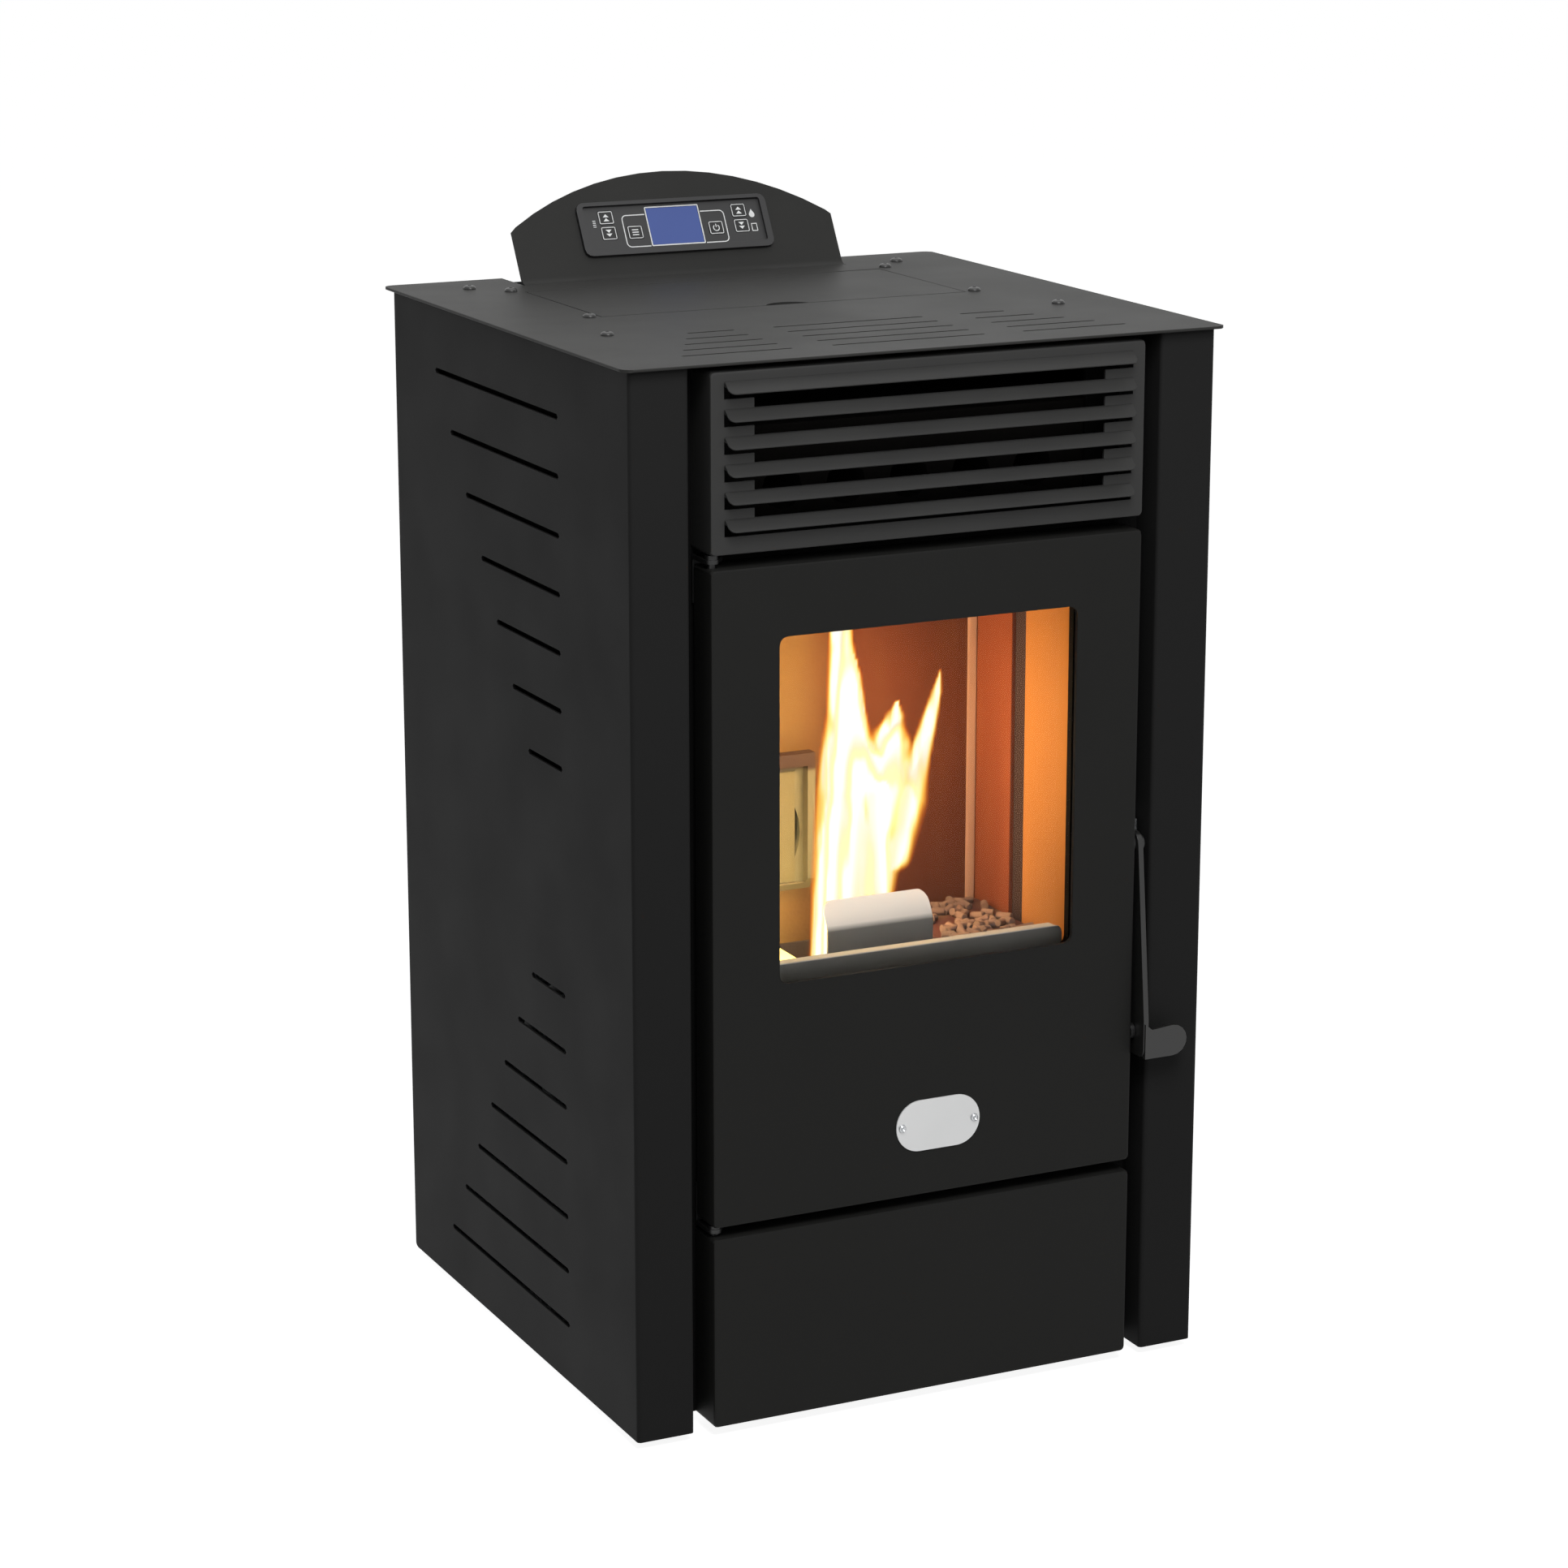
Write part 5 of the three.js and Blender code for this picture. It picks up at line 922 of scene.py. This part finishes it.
    def marks(self) -> None:
        """Prints the small plain marks beside the keys: a drop, a bar scale and a battery-like cell."""
        left = [stroke([(-1.2, h), (1.2, h)], 0.6) for h in (-2.4, -0.8, 0.8, 2.4)]
        self.printed("marks_left", left, -65.0, 44.0, self.face, Body.CASING.value)
        drop = arc_points(0, -1.0, 2.3, -220, 40, 12) + [(0.0, 3.6)]
        self.printed("marks_right_drop", [drop], 65.2, 45.5, self.face, Body.CASING.value)
        self.printed("marks_right_cell", self.ring(2.4, 3.2, 0.4, 0.6), 65.2, 34.2, self.face, Body.CASING.value)

    def build(self) -> None:
        """Builds the control unit's pieces."""
        self.mouldings()
        self.lines()
        self.symbols()
        self.marks()


# ---------------------------------------------------------------- front


@dataclass
class Front:
    """The louvre, the plinth and the frame behind them.

    Attributes:
        face: The louvre's front face, in millimetres.
        first_fold: Height of the highest blade's fold.
        pitch: Distance from one blade to the next.
        blades: How many there are.
        half: Half a blade's width.
        cut: Height of the slot that the frame's solid has under each fold.
        length: How far a blade reaches from its fold, which is also the slot's height in the pressing.
        swing: How far a blade leans out, in degrees.
        corner: Radius of a blade's lower corners.
        sheet: The sheet's thickness.
    """

    face: float = -235.0
    first_fold: float = 742.0
    pitch: float = 18.4
    blades: int = 6
    half: float = 155.0
    cut: float = 13.0
    length: float = 10.6
    swing: float = 50.0
    corner: float = 5.0
    sheet: float = 1.2

    def louvre(self) -> BMesh:
        """Takes the pressed pan from the frame, narrows its slots and bends the blades out of them.

        Returns:
            The whole pressing.
        """
        pan = solid_of("front_grille")
        bmesh.ops.bisect_plane(pan, geom=pan.verts[:] + pan.edges[:] + pan.faces[:], dist=1e-6,
                               plane_co=(0.0, (self.face - 0.05) * MM, 0.0), plane_no=(0.0, -1.0, 0.0),
                               clear_outer=True)
        bmesh.ops.holes_fill(pan, edges=[edge for edge in pan.edges if edge.is_boundary], sides=0)
        folds = [self.first_fold - i * self.pitch for i in range(self.blades)]
        for vert in pan.verts:
            if any(abs(vert.co.z / MM - (fold - self.cut)) < 0.4 for fold in folds):
                vert.co.z += (self.cut - self.length) * MM
        parts = [round_edges(pan, 0.3, 2, longer_than=6.0)]
        u, v, r = self.half - 0.3, self.length, self.corner
        outline = ([(-u, 0.4)] + arc_points(-u + r, -v + r, r, 180, 270, 6)
                   + arc_points(u - r, -v + r, r, -90, 0, 6) + [(u, 0.4)])
        for fold in folds:
            lean = (Matrix.Translation((0.0, self.face * MM, fold * MM))
                    @ Matrix.Rotation(math.radians(90 - self.swing), 4, "X"))
            parts.append(round_edges(plate(outline, self.sheet, lean), 0.3, 2, longer_than=0.5))
        return merged(parts)

    def build(self) -> None:
        """Rounds and paints the front's fixed pieces."""
        piece("louvre_pressing", self.louvre(), LOUVRE_PAINT, Body.CASING.value, ("front_grille",))
        bm = round_edges(solid_of("plinth_panel"), Edge.BENT.value, 3, sharper_than=60.0, longer_than=9.0)
        piece("plinth_pressing", bm, DOOR_PAINT, Body.CASING.value, ("plinth_panel",))
        self.paint_frame()

    def paint_frame(self) -> None:
        """Paints the inner frame matt black."""
        dress("front_frame", FRAME_PAINT)


def dress(node: str, finish: Finish) -> None:
    """Gives a frame node its finish."""
    data = frame["nodes"][node].data
    data.materials.clear()
    data.materials.append(finish.material())


@dataclass
class Door:
    """The door leaf with its pane, rail, gasket and bare badge.

    Attributes:
        face: The leaf's front face, in millimetres.
        badge_centre: Where the badge sits, across and up.
        badge_half: The badge's half width and half height.
        badge_thickness: The badge plate's thickness.
        rivet_spread: Distance between the badge's two screws.
    """

    face: float = -235.0
    badge_centre: tuple[float, float] = (8.5, 207.0)
    badge_half: tuple[float, float] = (33.0, 18.75)
    badge_thickness: float = 1.2
    rivet_spread: float = 57.0

    def leaf(self) -> None:
        """Rounds and paints the leaf."""
        bm = round_edges(solid_of("door_panel"), Edge.BENT.value, 3, sharper_than=60.0, longer_than=9.0)
        piece("door_leaf", bm, DOOR_PAINT, Body.DOOR.value, ("door_panel",))

    def rail(self) -> None:
        """Rounds the window rail's fold."""
        bm = round_edges(solid_of("door_window_rail"), 0.8, 3, longer_than=2.0)
        piece("window_rail_fold", bm, RAIL_STEEL_PAINTED_HIGHLIGHT, Body.DOOR.value, ("door_window_rail",))

    def badge(self) -> None:
        """Makes the plain badge plate with its two screws."""
        x, z = self.badge_centre
        half_u, half_v = self.badge_half
        facing = Matrix.Translation((x * MM, self.face * MM, z * MM)) @ Matrix.Rotation(math.radians(90), 4, "X")
        bm = plate(rounded_box(half_u, half_v, half_v - 0.2, 14), self.badge_thickness, facing)
        bmesh.ops.recalc_face_normals(bm, faces=bm.faces)
        round_edges(bm, 0.3, 2, sharper_than=50.0, longer_than=0.2)
        piece("badge_plate", bm, BADGE_ALLOY, Body.DOOR.value)
        dome = [(0.0, 0.4), (0.5, 0.9), (1.7, 1.9), (2.6, 1.2), (3.0, 0.0), (0.0, 0.0)]
        heads = []
        for side in (-1.0, 1.0):
            spot = facing @ Matrix.Translation((side * self.rivet_spread / 2 * MM, 0.0, self.badge_thickness * MM))
            heads.append(turned(dome, 24, spot))
        piece("badge_screws", merged(heads), ZINC_PLATE, Body.DOOR.value)

    def hardware(self) -> None:
        """Dresses the pane, the inner frame, the rope and the pivot hardware."""
        dress("door_glass", GLASS)
        dress("door_inner_frame", FRAME_PAINT)
        dress("door_rope_gasket", ROPE)
        for node, body, finish in (
                ("hinge_upper", "casing", HINGE_STEEL), ("hinge_lower", "casing", HINGE_STEEL),
                ("latch_keeper", "casing", ZINC_PLATE), ("handle_pivot_bolt", "door", HINGE_STEEL),
                ("handle_guide_stud", "door", HINGE_STEEL)):
            bm = round_edges(solid_of(node), 0.2, 2, longer_than=1.5)
            piece(f"{node}_hardware", bm, finish, body, (node,))

    def lever(self) -> None:
        """Rounds and paints the handle lever."""
        bm = round_edges(solid_of("handle_lever"), 0.9, 3, sharper_than=40.0, longer_than=1.5)
        piece("handle_lever_forging", bm, LEVER_PAINT, Body.HANDLE.value, ("handle_lever",))

    def build(self) -> None:
        """Builds the door's pieces."""
        self.leaf()
        self.rail()
        self.badge()
        self.hardware()
        self.lever()


# ---------------------------------------------------------------- fire


@dataclass
class Tongue:
    """One tongue of flame: a line of points with a half width at each.

    Attributes:
        path: (x, z, half width) in millimetres, from the pot upwards.
        heat: How hot its middle is, from 0 to 1.
    """

    path: tuple[tuple[float, float, float], ...]
    heat: float = 1.0

    def warmth(self, x: float, z: float, depth: float) -> float:
        """Gives the heat at a point, which falls to nothing at the round tongue's edge."""
        best = 0.0
        for (x0, z0, w0), (x1, z1, w1) in zip(self.path, self.path[1:]):
            run = Vector((x1 - x0, z1 - z0))
            share = max(0.0, min(1.0, Vector((x - x0, z - z0)).dot(run) / run.length_squared))
            width = w0 + (w1 - w0) * share
            away = math.hypot(x - x0 - run.x * share, z - z0 - run.y * share, depth)
            if width > 0.1:
                best = max(best, self.heat * (1.0 - (away / width) ** 2))
        return best


@dataclass
class Fire:
    """The flame, its embers and the fire bricks around it.

    Attributes:
        centre_y: The middle of the burn pot, front to back.
        sheets: How many sheets the flame is made of.
        depth: Half the flame's depth.
        mesh_mm: The flame sheets' mesh size.
        half_width: Half the width that a flame sheet is cut from.
        pot_top: Where the flame starts.
        flame_top: Where it ends, under the baffle.
        gain: How quickly the flame turns white inside its edge.
        sway: The flame's slow bend: its amount in millimetres and its rates across and up.
        rag: The flame's ragged flicker: its amount and its rates across and up.
        steady: Height of the part that doesn't flicker, and how far above it the flicker is full.
        chute: The hole in the back board, behind the chute's frame: x, x, z, z.
        flap: The flap that hangs in the chute's frame and keeps the fire out: x, x, z, z.
        board_gap: The gap between the two boards of a side wall: its middle and its width.
        batten: Width of the batten in each rear corner.
        ledge: The near and far side, the front and the top of the ledges beside the pot.
        tongues: The tongues of flame.
    """

    centre_y: float = -115.0
    sheets: int = 7
    depth: float = 27.0
    mesh_mm: float = 2.0
    half_width: float = 85.0
    pot_top: float = 296.0
    flame_top: float = 606.0
    gain: float = 2.1
    sway: tuple[float, float, float] = (3.0, 0.03, 0.014)
    rag: tuple[float, float, float] = (0.75, 0.13, 0.035)
    steady: tuple[float, float] = (300.0, 80.0)
    chute: tuple[float, float, float, float] = (-65.0, -7.0, 337.0, 433.0)
    flap: tuple[float, float, float, float] = (-61.4, -17.0, 341.0, 424.0)
    board_gap: tuple[float, float] = (-120.0, 20.0)
    batten: float = 7.0
    ledge: tuple[float, float, float, float] = (56.0, 131.2, -190.0, 311.0)
    tongues: tuple[Tongue, ...] = (
        Tongue(((-2, 292, 29), (0, 350, 30), (1, 420, 27), (-6, 480, 15), (-9.5, 530, 10.5), (-9, 580, 8),
                (-10, 606, 5))),
        Tongue(((8, 292, 20), (10, 350, 24), (17, 390, 25), (24, 420, 25), (29, 450, 18), (33, 470, 9),
                (35, 482, 2)), 0.62),
        Tongue(((34, 370, 14), (46, 410, 15), (54, 440, 10), (60, 465, 8), (66, 487, 5), (70, 503, 1)), 0.5),
        Tongue(((4, 430, 16), (3, 470, 9), (2, 505, 5), (1, 520, 1)), 0.6),
        Tongue(((-14, 292, 18), (-12, 340, 17), (-10, 400, 13), (-8, 440, 10)), 0.7),
    )

    def heat_at(self, x: float, z: float, depth: float, seed: float) -> float:
        """Gives the flame's heat at a point of one sheet.

        Args:
            x: Across, in millimetres.
            z: Up, in millimetres.
            depth: Away from the flame's middle.
            seed: A number that makes each sheet's flicker its own.

        Returns:
            Heat from 0 to 1.
        """
        still, fade = self.steady
        lift = min(1.0, max(0.0, z - still) / fade)
        bend, bend_u, bend_v = self.sway
        flicker, flicker_u, flicker_v = self.rag
        sway = noise.noise(Vector((x * bend_u, z * bend_v, seed))) * bend * lift
        rag = 1.0 + noise.noise(Vector((x * flicker_u, z * flicker_v, seed * 1.7))) * flicker * lift
        value = sum(tongue.warmth(x + sway, z, depth) for tongue in self.tongues)
        return max(0.0, min(1.0, value * self.gain * rag))

    def sheet(self, name: str, offset: float, seed: float) -> None:
        """Makes one see-through sheet of the flame.

        Args:
            name: The sheet's name.
            offset: How far it stands from the flame's middle.
            seed: Its own flicker.
        """
        half_w, low, high = self.half_width, self.pot_top, self.flame_top
        bm = bmesh.new()
        cols = int(2 * half_w / self.mesh_mm)
        rows = int((high - low) / self.mesh_mm)
        bmesh.ops.create_grid(bm, x_segments=cols, y_segments=rows, size=0.5)
        layer = bm.verts.layers.float.new("warmth")
        for vert in bm.verts:
            u = vert.co.x * 2 * half_w
            z = low + (vert.co.y + 0.5) * (high - low)
            vert[layer] = self.heat_at(u, z, offset, seed)
            bow = 4.0 * noise.noise(Vector((u * 0.02, z * 0.01, seed + 5.0)))
            vert.co = Vector((u, self.centre_y + offset + bow, z)) * MM
        cold = [face for face in bm.faces if max(v[layer] for v in face.verts) <= 0.005]
        bmesh.ops.delete(bm, geom=cold, context="FACES")
        made = piece(name, bm, FLAME, Body.CASING.value)
        made.visible_shadow = False

    def flame(self) -> None:
        """Makes the flame's sheets."""
        for i in range(self.sheets):
            offset = (i / (self.sheets - 1) * 2 - 1) * self.depth * 0.95
            self.sheet(f"flame_sheet_{i + 1}", offset, 3.1 * i)

    def pellets(self, name: str, spots: list[tuple[float, float, float]], finish: Finish, body: str) -> None:
        """Strews pellets.

        Args:
            name: The piece's name.
            spots: Centres in millimetres.
            finish: Their surface.
            body: The body that they ride on.
        """
        dice = random.Random(name)
        parts = []
        for x, y, z in spots:
            one = bmesh.new()
            bmesh.ops.create_cone(one, cap_ends=True, segments=8, radius1=3.0 * MM, radius2=3.0 * MM,
                                  depth=dice.uniform(9.0, 16.0) * MM)
            bmesh.ops.bevel(one, geom=one.edges, offset=0.5 * MM, offset_type="OFFSET", affect="EDGES",
                            segments=1, profile=0.5, material=-1)
            turn = Matrix.Rotation(dice.uniform(0, math.tau), 4, "Z") @ Matrix.Rotation(
                math.radians(dice.uniform(75, 100)), 4, "Y")
            bmesh.ops.transform(one, matrix=Matrix.Translation((x * MM, y * MM, z * MM)) @ turn, verts=one.verts)
            parts.append(one)
        piece(name, merged(parts), finish, body)

    def bed(self) -> None:
        """Fills the pot with glowing pellets and leaves a little ash on the hearth."""
        dice = random.Random(7)
        spots = [(dice.uniform(-31, 31), self.centre_y + dice.uniform(-30, 30), dice.uniform(262, 290))
                 for _ in range(90)]
        self.pellets("ember_bed", spots, EMBER, Body.POT.value)
        hearth = [(dice.uniform(62, 124), dice.uniform(-183, -70), 313.5) for _ in range(75)]
        self.pellets("hearth_cinders", hearth, ASH, Body.CASING.value)

    def bricks(self) -> None:
        """Lays the back board round the chute, and the side boards with their gap and corner batten."""
        (x0, y0, z0), (x1, y1, z1) = [[v / MM for v in corner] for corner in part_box("back_liner")]
        hole = (self.chute[0], self.chute[2], self.chute[1], self.chute[3])
        facing = Matrix.Translation((0.0, y1 * MM, 0.0)) @ Matrix.Rotation(math.radians(90), 4, "X")
        bm = holed_plate((x0, z0, x1, z1), hole, y1 - y0, facing)
        piece("back_board", bm, FIRE_BOARD_PAINTED_FIRELIGHT, Body.CASING.value, ("back_liner",))
        for side, sign in (("left", -1.0), ("right", 1.0)):
            (x0, front, z0), (x1, back, z1) = [[v / MM for v in corner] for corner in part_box(f"side_liner_{side}")]
            near, far = min(abs(x0), abs(x1)), max(abs(x0), abs(x1))
            middle, gap = self.board_gap
            boards = []
            for start, end in ((front, middle - gap / 2), (middle + gap / 2, back)):
                outline = [(sign * near, start), (sign * far, start), (sign * far, end), (sign * near, end)]
                boards.append(round_edges(plate(outline, z1 - z0, Matrix.Translation((0.0, 0.0, z0 * MM))),
                                          0.8, 2, longer_than=3.0))
            piece(f"side_board_{side}", merged(boards), SIDE_BRICK, Body.CASING.value,
                  (f"side_liner_{side}",))
            outline = [(sign * (far - 0.8), middle - gap / 2 + 0.2), (sign * far, middle - gap / 2 + 0.2),
                       (sign * far, middle + gap / 2 - 0.2), (sign * (far - 0.8), middle + gap / 2 - 0.2)]
            piece(f"side_gap_{side}", plate(outline, z1 - z0, Matrix.Translation((0.0, 0.0, z0 * MM))),
                  GAP_STEEL, Body.CASING.value)
            edge = y0 - 0.3
            outline = [(sign * (near - self.batten), edge - 4.0), (sign * (near - 0.3), edge - 4.0),
                       (sign * (near - 0.3), edge), (sign * (near - self.batten), edge)]
            bm = round_edges(plate(outline, z1 - z0, Matrix.Translation((0.0, 0.0, z0 * MM))), 1.2, 2,
                             longer_than=3.0)
            piece(f"corner_batten_{side}", bm, BATTEN, Body.CASING.value)
        self.ledges(y0 - 4.8)
        bm = round_edges(solid_of("flame_guard"), 0.5, 3, longer_than=1.0)
        piece("flame_guard_sheet", bm, GUARD_STEEL_PAINTED_HIGHLIGHT, Body.POT.value, ("flame_guard",))
        x0, x1, z0, z1 = self.flap
        facing = Matrix.Translation((0.0, -56.6 * MM, 0.0)) @ Matrix.Rotation(math.radians(90), 4, "X")
        bm = round_edges(plate([(x0, z0), (x1, z0), (x1, z1), (x0, z1)], 1.0, facing), 0.3, 2, longer_than=3.0)
        piece("chute_flap", bm, CHUTE_FLAP, Body.CASING.value)
        dress("auger_tube", CHUTE_STEEL_PAINTED_SHADE)
        dress("hearth_plate", HEARTH_IRON_PAINTED_FIRELIGHT)

    def ledges(self, back: float) -> None:
        """Lays the low ledge on each side of the pot, on the hearth.

        Args:
            back: Where the ledges end at the back, in millimetres.
        """
        near, far, front, top = self.ledge
        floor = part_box("hearth_plate")[1][2] / MM
        for side, sign in (("left", -1.0), ("right", 1.0)):
            outline = [(sign * near, front), (sign * far, front), (sign * far, back), (sign * near, back)]
            bm = round_edges(plate(outline, top - floor, Matrix.Translation((0.0, 0.0, floor * MM))), 1.5, 2,
                             longer_than=3.0)
            piece(f"hearth_ledge_{side}", bm, LEDGE_PAINTED_FIRELIGHT, Body.CASING.value)

    def lamps(self) -> None:
        """Hangs the lamps that stand for the fire's light."""
        for name, spot, power, colour, radius in (
                ("fire_glow_high", (6, -118, 460), 2.3, "#ffd9a0", 0.02),
                ("fire_glow_low", (4, -118, 360), 1.0, "#ffd09a", 0.02),
                ("fire_glow_left", (-75, -135, 340), 0.7, "#fff0b0", 0.02)):
            data = bpy.data.lights.new(name, "POINT")
            data.energy = power
            data.color = linear(colour)[:3]
            data.shadow_soft_size = radius
            lamp = bpy.data.objects.new(name, data)
            lamp.location = Vector(spot) * MM
            lamp.visible_camera = False
            lamp.visible_transmission = False
            lamp.visible_glossy = False
            bpy.context.scene.collection.objects.link(lamp)

    def build(self) -> None:
        """Builds the fire's pieces."""
        self.bricks()
        self.bed()
        self.flame()
        self.lamps()


# ---------------------------------------------------------------- works out of sight


@dataclass
class InnerWorks:
    """Everything that the casing hides, dressed by its material slot."""

    def build(self) -> None:
        """Gives each node that is still shown as it is its own finish."""
        slots = {entry["node"]: entry["material_slot"] for entry in frame["record"]["subparts"]}
        for node, shown in frame["nodes"].items():
            current = shown.data.materials[0].name if shown.data.materials else ""
            if current not in {finish.name for finish in SPECIAL}:
                dress(node, SLOT_FINISH[slots[node]])
        log.info("dressed %d frame nodes", len(slots))


SPECIAL: tuple[Finish, ...] = (FRAME_PAINT, GLASS, ROPE, SCREEN, CHUTE_STEEL_PAINTED_SHADE, HEARTH_IRON_PAINTED_FIRELIGHT)


# ---------------------------------------------------------------- studio


@dataclass
class Studio:
    """Camera, lamps, floor and white surroundings.

    Attributes:
        eye: Where the camera stands, in millimetres.
        yaw: How far it is turned to the right, in degrees.
        pitch: How far it looks down.
        focal_px: Focal length in pixels of the 1932 px photograph.
        photo_px: The photograph's width in pixels.
        softboxes: Each soft light: name, place in metres, width and height, and power in watts.
    """

    eye: tuple[float, float, float] = (-1316.5, -2725.9, 1185.8)
    yaw: float = 25.818
    pitch: float = 14.576
    focal_px: float = 5215.5
    photo_px: float = 1932.0
    softboxes: tuple[tuple[str, tuple[float, float, float], tuple[float, float], float], ...] = (
        ("key_softbox", (-0.35, -1.5, 2.3), (1.0, 0.8), 22.0),
        ("front_softbox", (-0.1, -1.2, 1.25), (0.6, 0.3), 3.5),
        ("side_softbox", (-2.8, -0.8, 1.8), (1.6, 2.0), 0.35),
        ("top_softbox", (0.2, 0.5, 2.8), (2.2, 1.8), 14.0),
    )

    def camera(self) -> None:
        """Sets the camera at the photograph's angle."""
        data = bpy.data.cameras.new("photo_camera")
        data.sensor_width = 36.0
        data.sensor_fit = "HORIZONTAL"
        data.lens = data.sensor_width * self.focal_px / self.photo_px
        data.clip_end = 50.0
        eye = bpy.data.objects.new("photo_camera", data)
        eye.location = Vector(self.eye) * MM
        eye.rotation_euler = (math.radians(90 - self.pitch), 0.0, math.radians(-self.yaw))
        bpy.context.scene.collection.objects.link(eye)
        bpy.context.scene.camera = eye

    def softbox(self, name: str, spot: tuple[float, float, float], size: tuple[float, float], power: float) -> None:
        """Hangs one soft light that looks at the stove.

        Args:
            name: The lamp's name.
            spot: Its place in metres.
            size: Its width and height in metres.
            power: Its power in watts.
        """
        data = bpy.data.lights.new(name, "AREA")
        data.shape = "RECTANGLE"
        data.size, data.size_y = size
        data.energy = power
        lamp = bpy.data.objects.new(name, data)
        lamp.location = spot
        aim = Vector((0.0, 0.0, 0.45)) - Vector(spot)
        lamp.rotation_euler = aim.to_track_quat("-Z", "Y").to_euler()
        bpy.context.scene.collection.objects.link(lamp)

    def seen_plainly(self, tree: NodeTree) -> NodeSocket:
        """Gives 1 for rays from the camera, from mirrors and through glass, and 0 for the others."""
        path = add_node(tree, "ShaderNodeLightPath")
        direct = add_node(tree, "ShaderNodeMath", links={0: path.outputs["Is Camera Ray"],
                                                        1: path.outputs["Is Glossy Ray"]}, operation="MAXIMUM")
        every = add_node(tree, "ShaderNodeMath", links={0: direct.outputs[0],
                                                       1: path.outputs["Is Transmission Ray"]}, operation="MAXIMUM")
        return every.outputs[0]

    def surroundings(self) -> None:
        """Makes the world pale: white to look at, and a plain soft light on the stove."""
        world = bpy.data.worlds.new("studio")
        world.use_nodes = True
        tree = world.node_tree
        tree.nodes.clear()
        soft = add_node(tree, "ShaderNodeBackground", {"Color": (1, 1, 1, 1), "Strength": 0.2})
        bright = add_node(tree, "ShaderNodeBackground", {"Color": (1, 1, 1, 1), "Strength": 1.0})
        mixed = add_node(tree, "ShaderNodeMixShader",
                         links={0: self.seen_plainly(tree), 1: soft.outputs[0], 2: bright.outputs[0]})
        add_node(tree, "ShaderNodeOutputWorld", links={"Surface": mixed.outputs[0]})
        bpy.context.scene.world = world

    def floor(self) -> None:
        """Lays the pale floor, which keeps the stove's shadow."""
        bm = bmesh.new()
        bmesh.ops.create_grid(bm, x_segments=1, y_segments=1, size=30.0)
        mesh = bpy.data.meshes.new("studio_floor")
        bm.to_mesh(mesh)
        bm.free()
        made = bpy.data.materials.new("studio_floor_paper")
        made.use_nodes = True
        tree = made.node_tree
        tree.nodes.clear()
        matt = add_node(tree, "ShaderNodeBsdfDiffuse", {"Color": (0.5, 0.5, 0.5, 1)})
        white = add_node(tree, "ShaderNodeEmission", {"Color": (1, 1, 1, 1), "Strength": 0.9})
        both = add_node(tree, "ShaderNodeAddShader", links={0: matt.outputs[0], 1: white.outputs[0]})
        shown = add_node(tree, "ShaderNodeMixShader",
                         links={0: self.seen_plainly(tree), 1: matt.outputs[0], 2: both.outputs[0]})
        add_node(tree, "ShaderNodeOutputMaterial", links={"Surface": shown.outputs[0]})
        mesh.materials.append(made)
        slab = bpy.data.objects.new("studio_floor", mesh)
        bpy.context.scene.collection.objects.link(slab)

    def build(self) -> None:
        """Builds the studio."""
        self.camera()
        self.surroundings()
        self.floor()
        for name, spot, size, power in self.softboxes:
            self.softbox(name, spot, size, power)
        bpy.context.scene.view_settings.view_transform = "Standard"


def main() -> None:
    """Builds the stove's looks in order."""
    logging.basicConfig(level=logging.INFO, format="%(name)s %(message)s")
    Studio().build()
    Casing().build()
    Worktop().build()
    ControlUnit().build()
    Front().build()
    Door().build()
    Fire().build()
    InnerWorks().build()


if __name__ == "__main__":
    main()
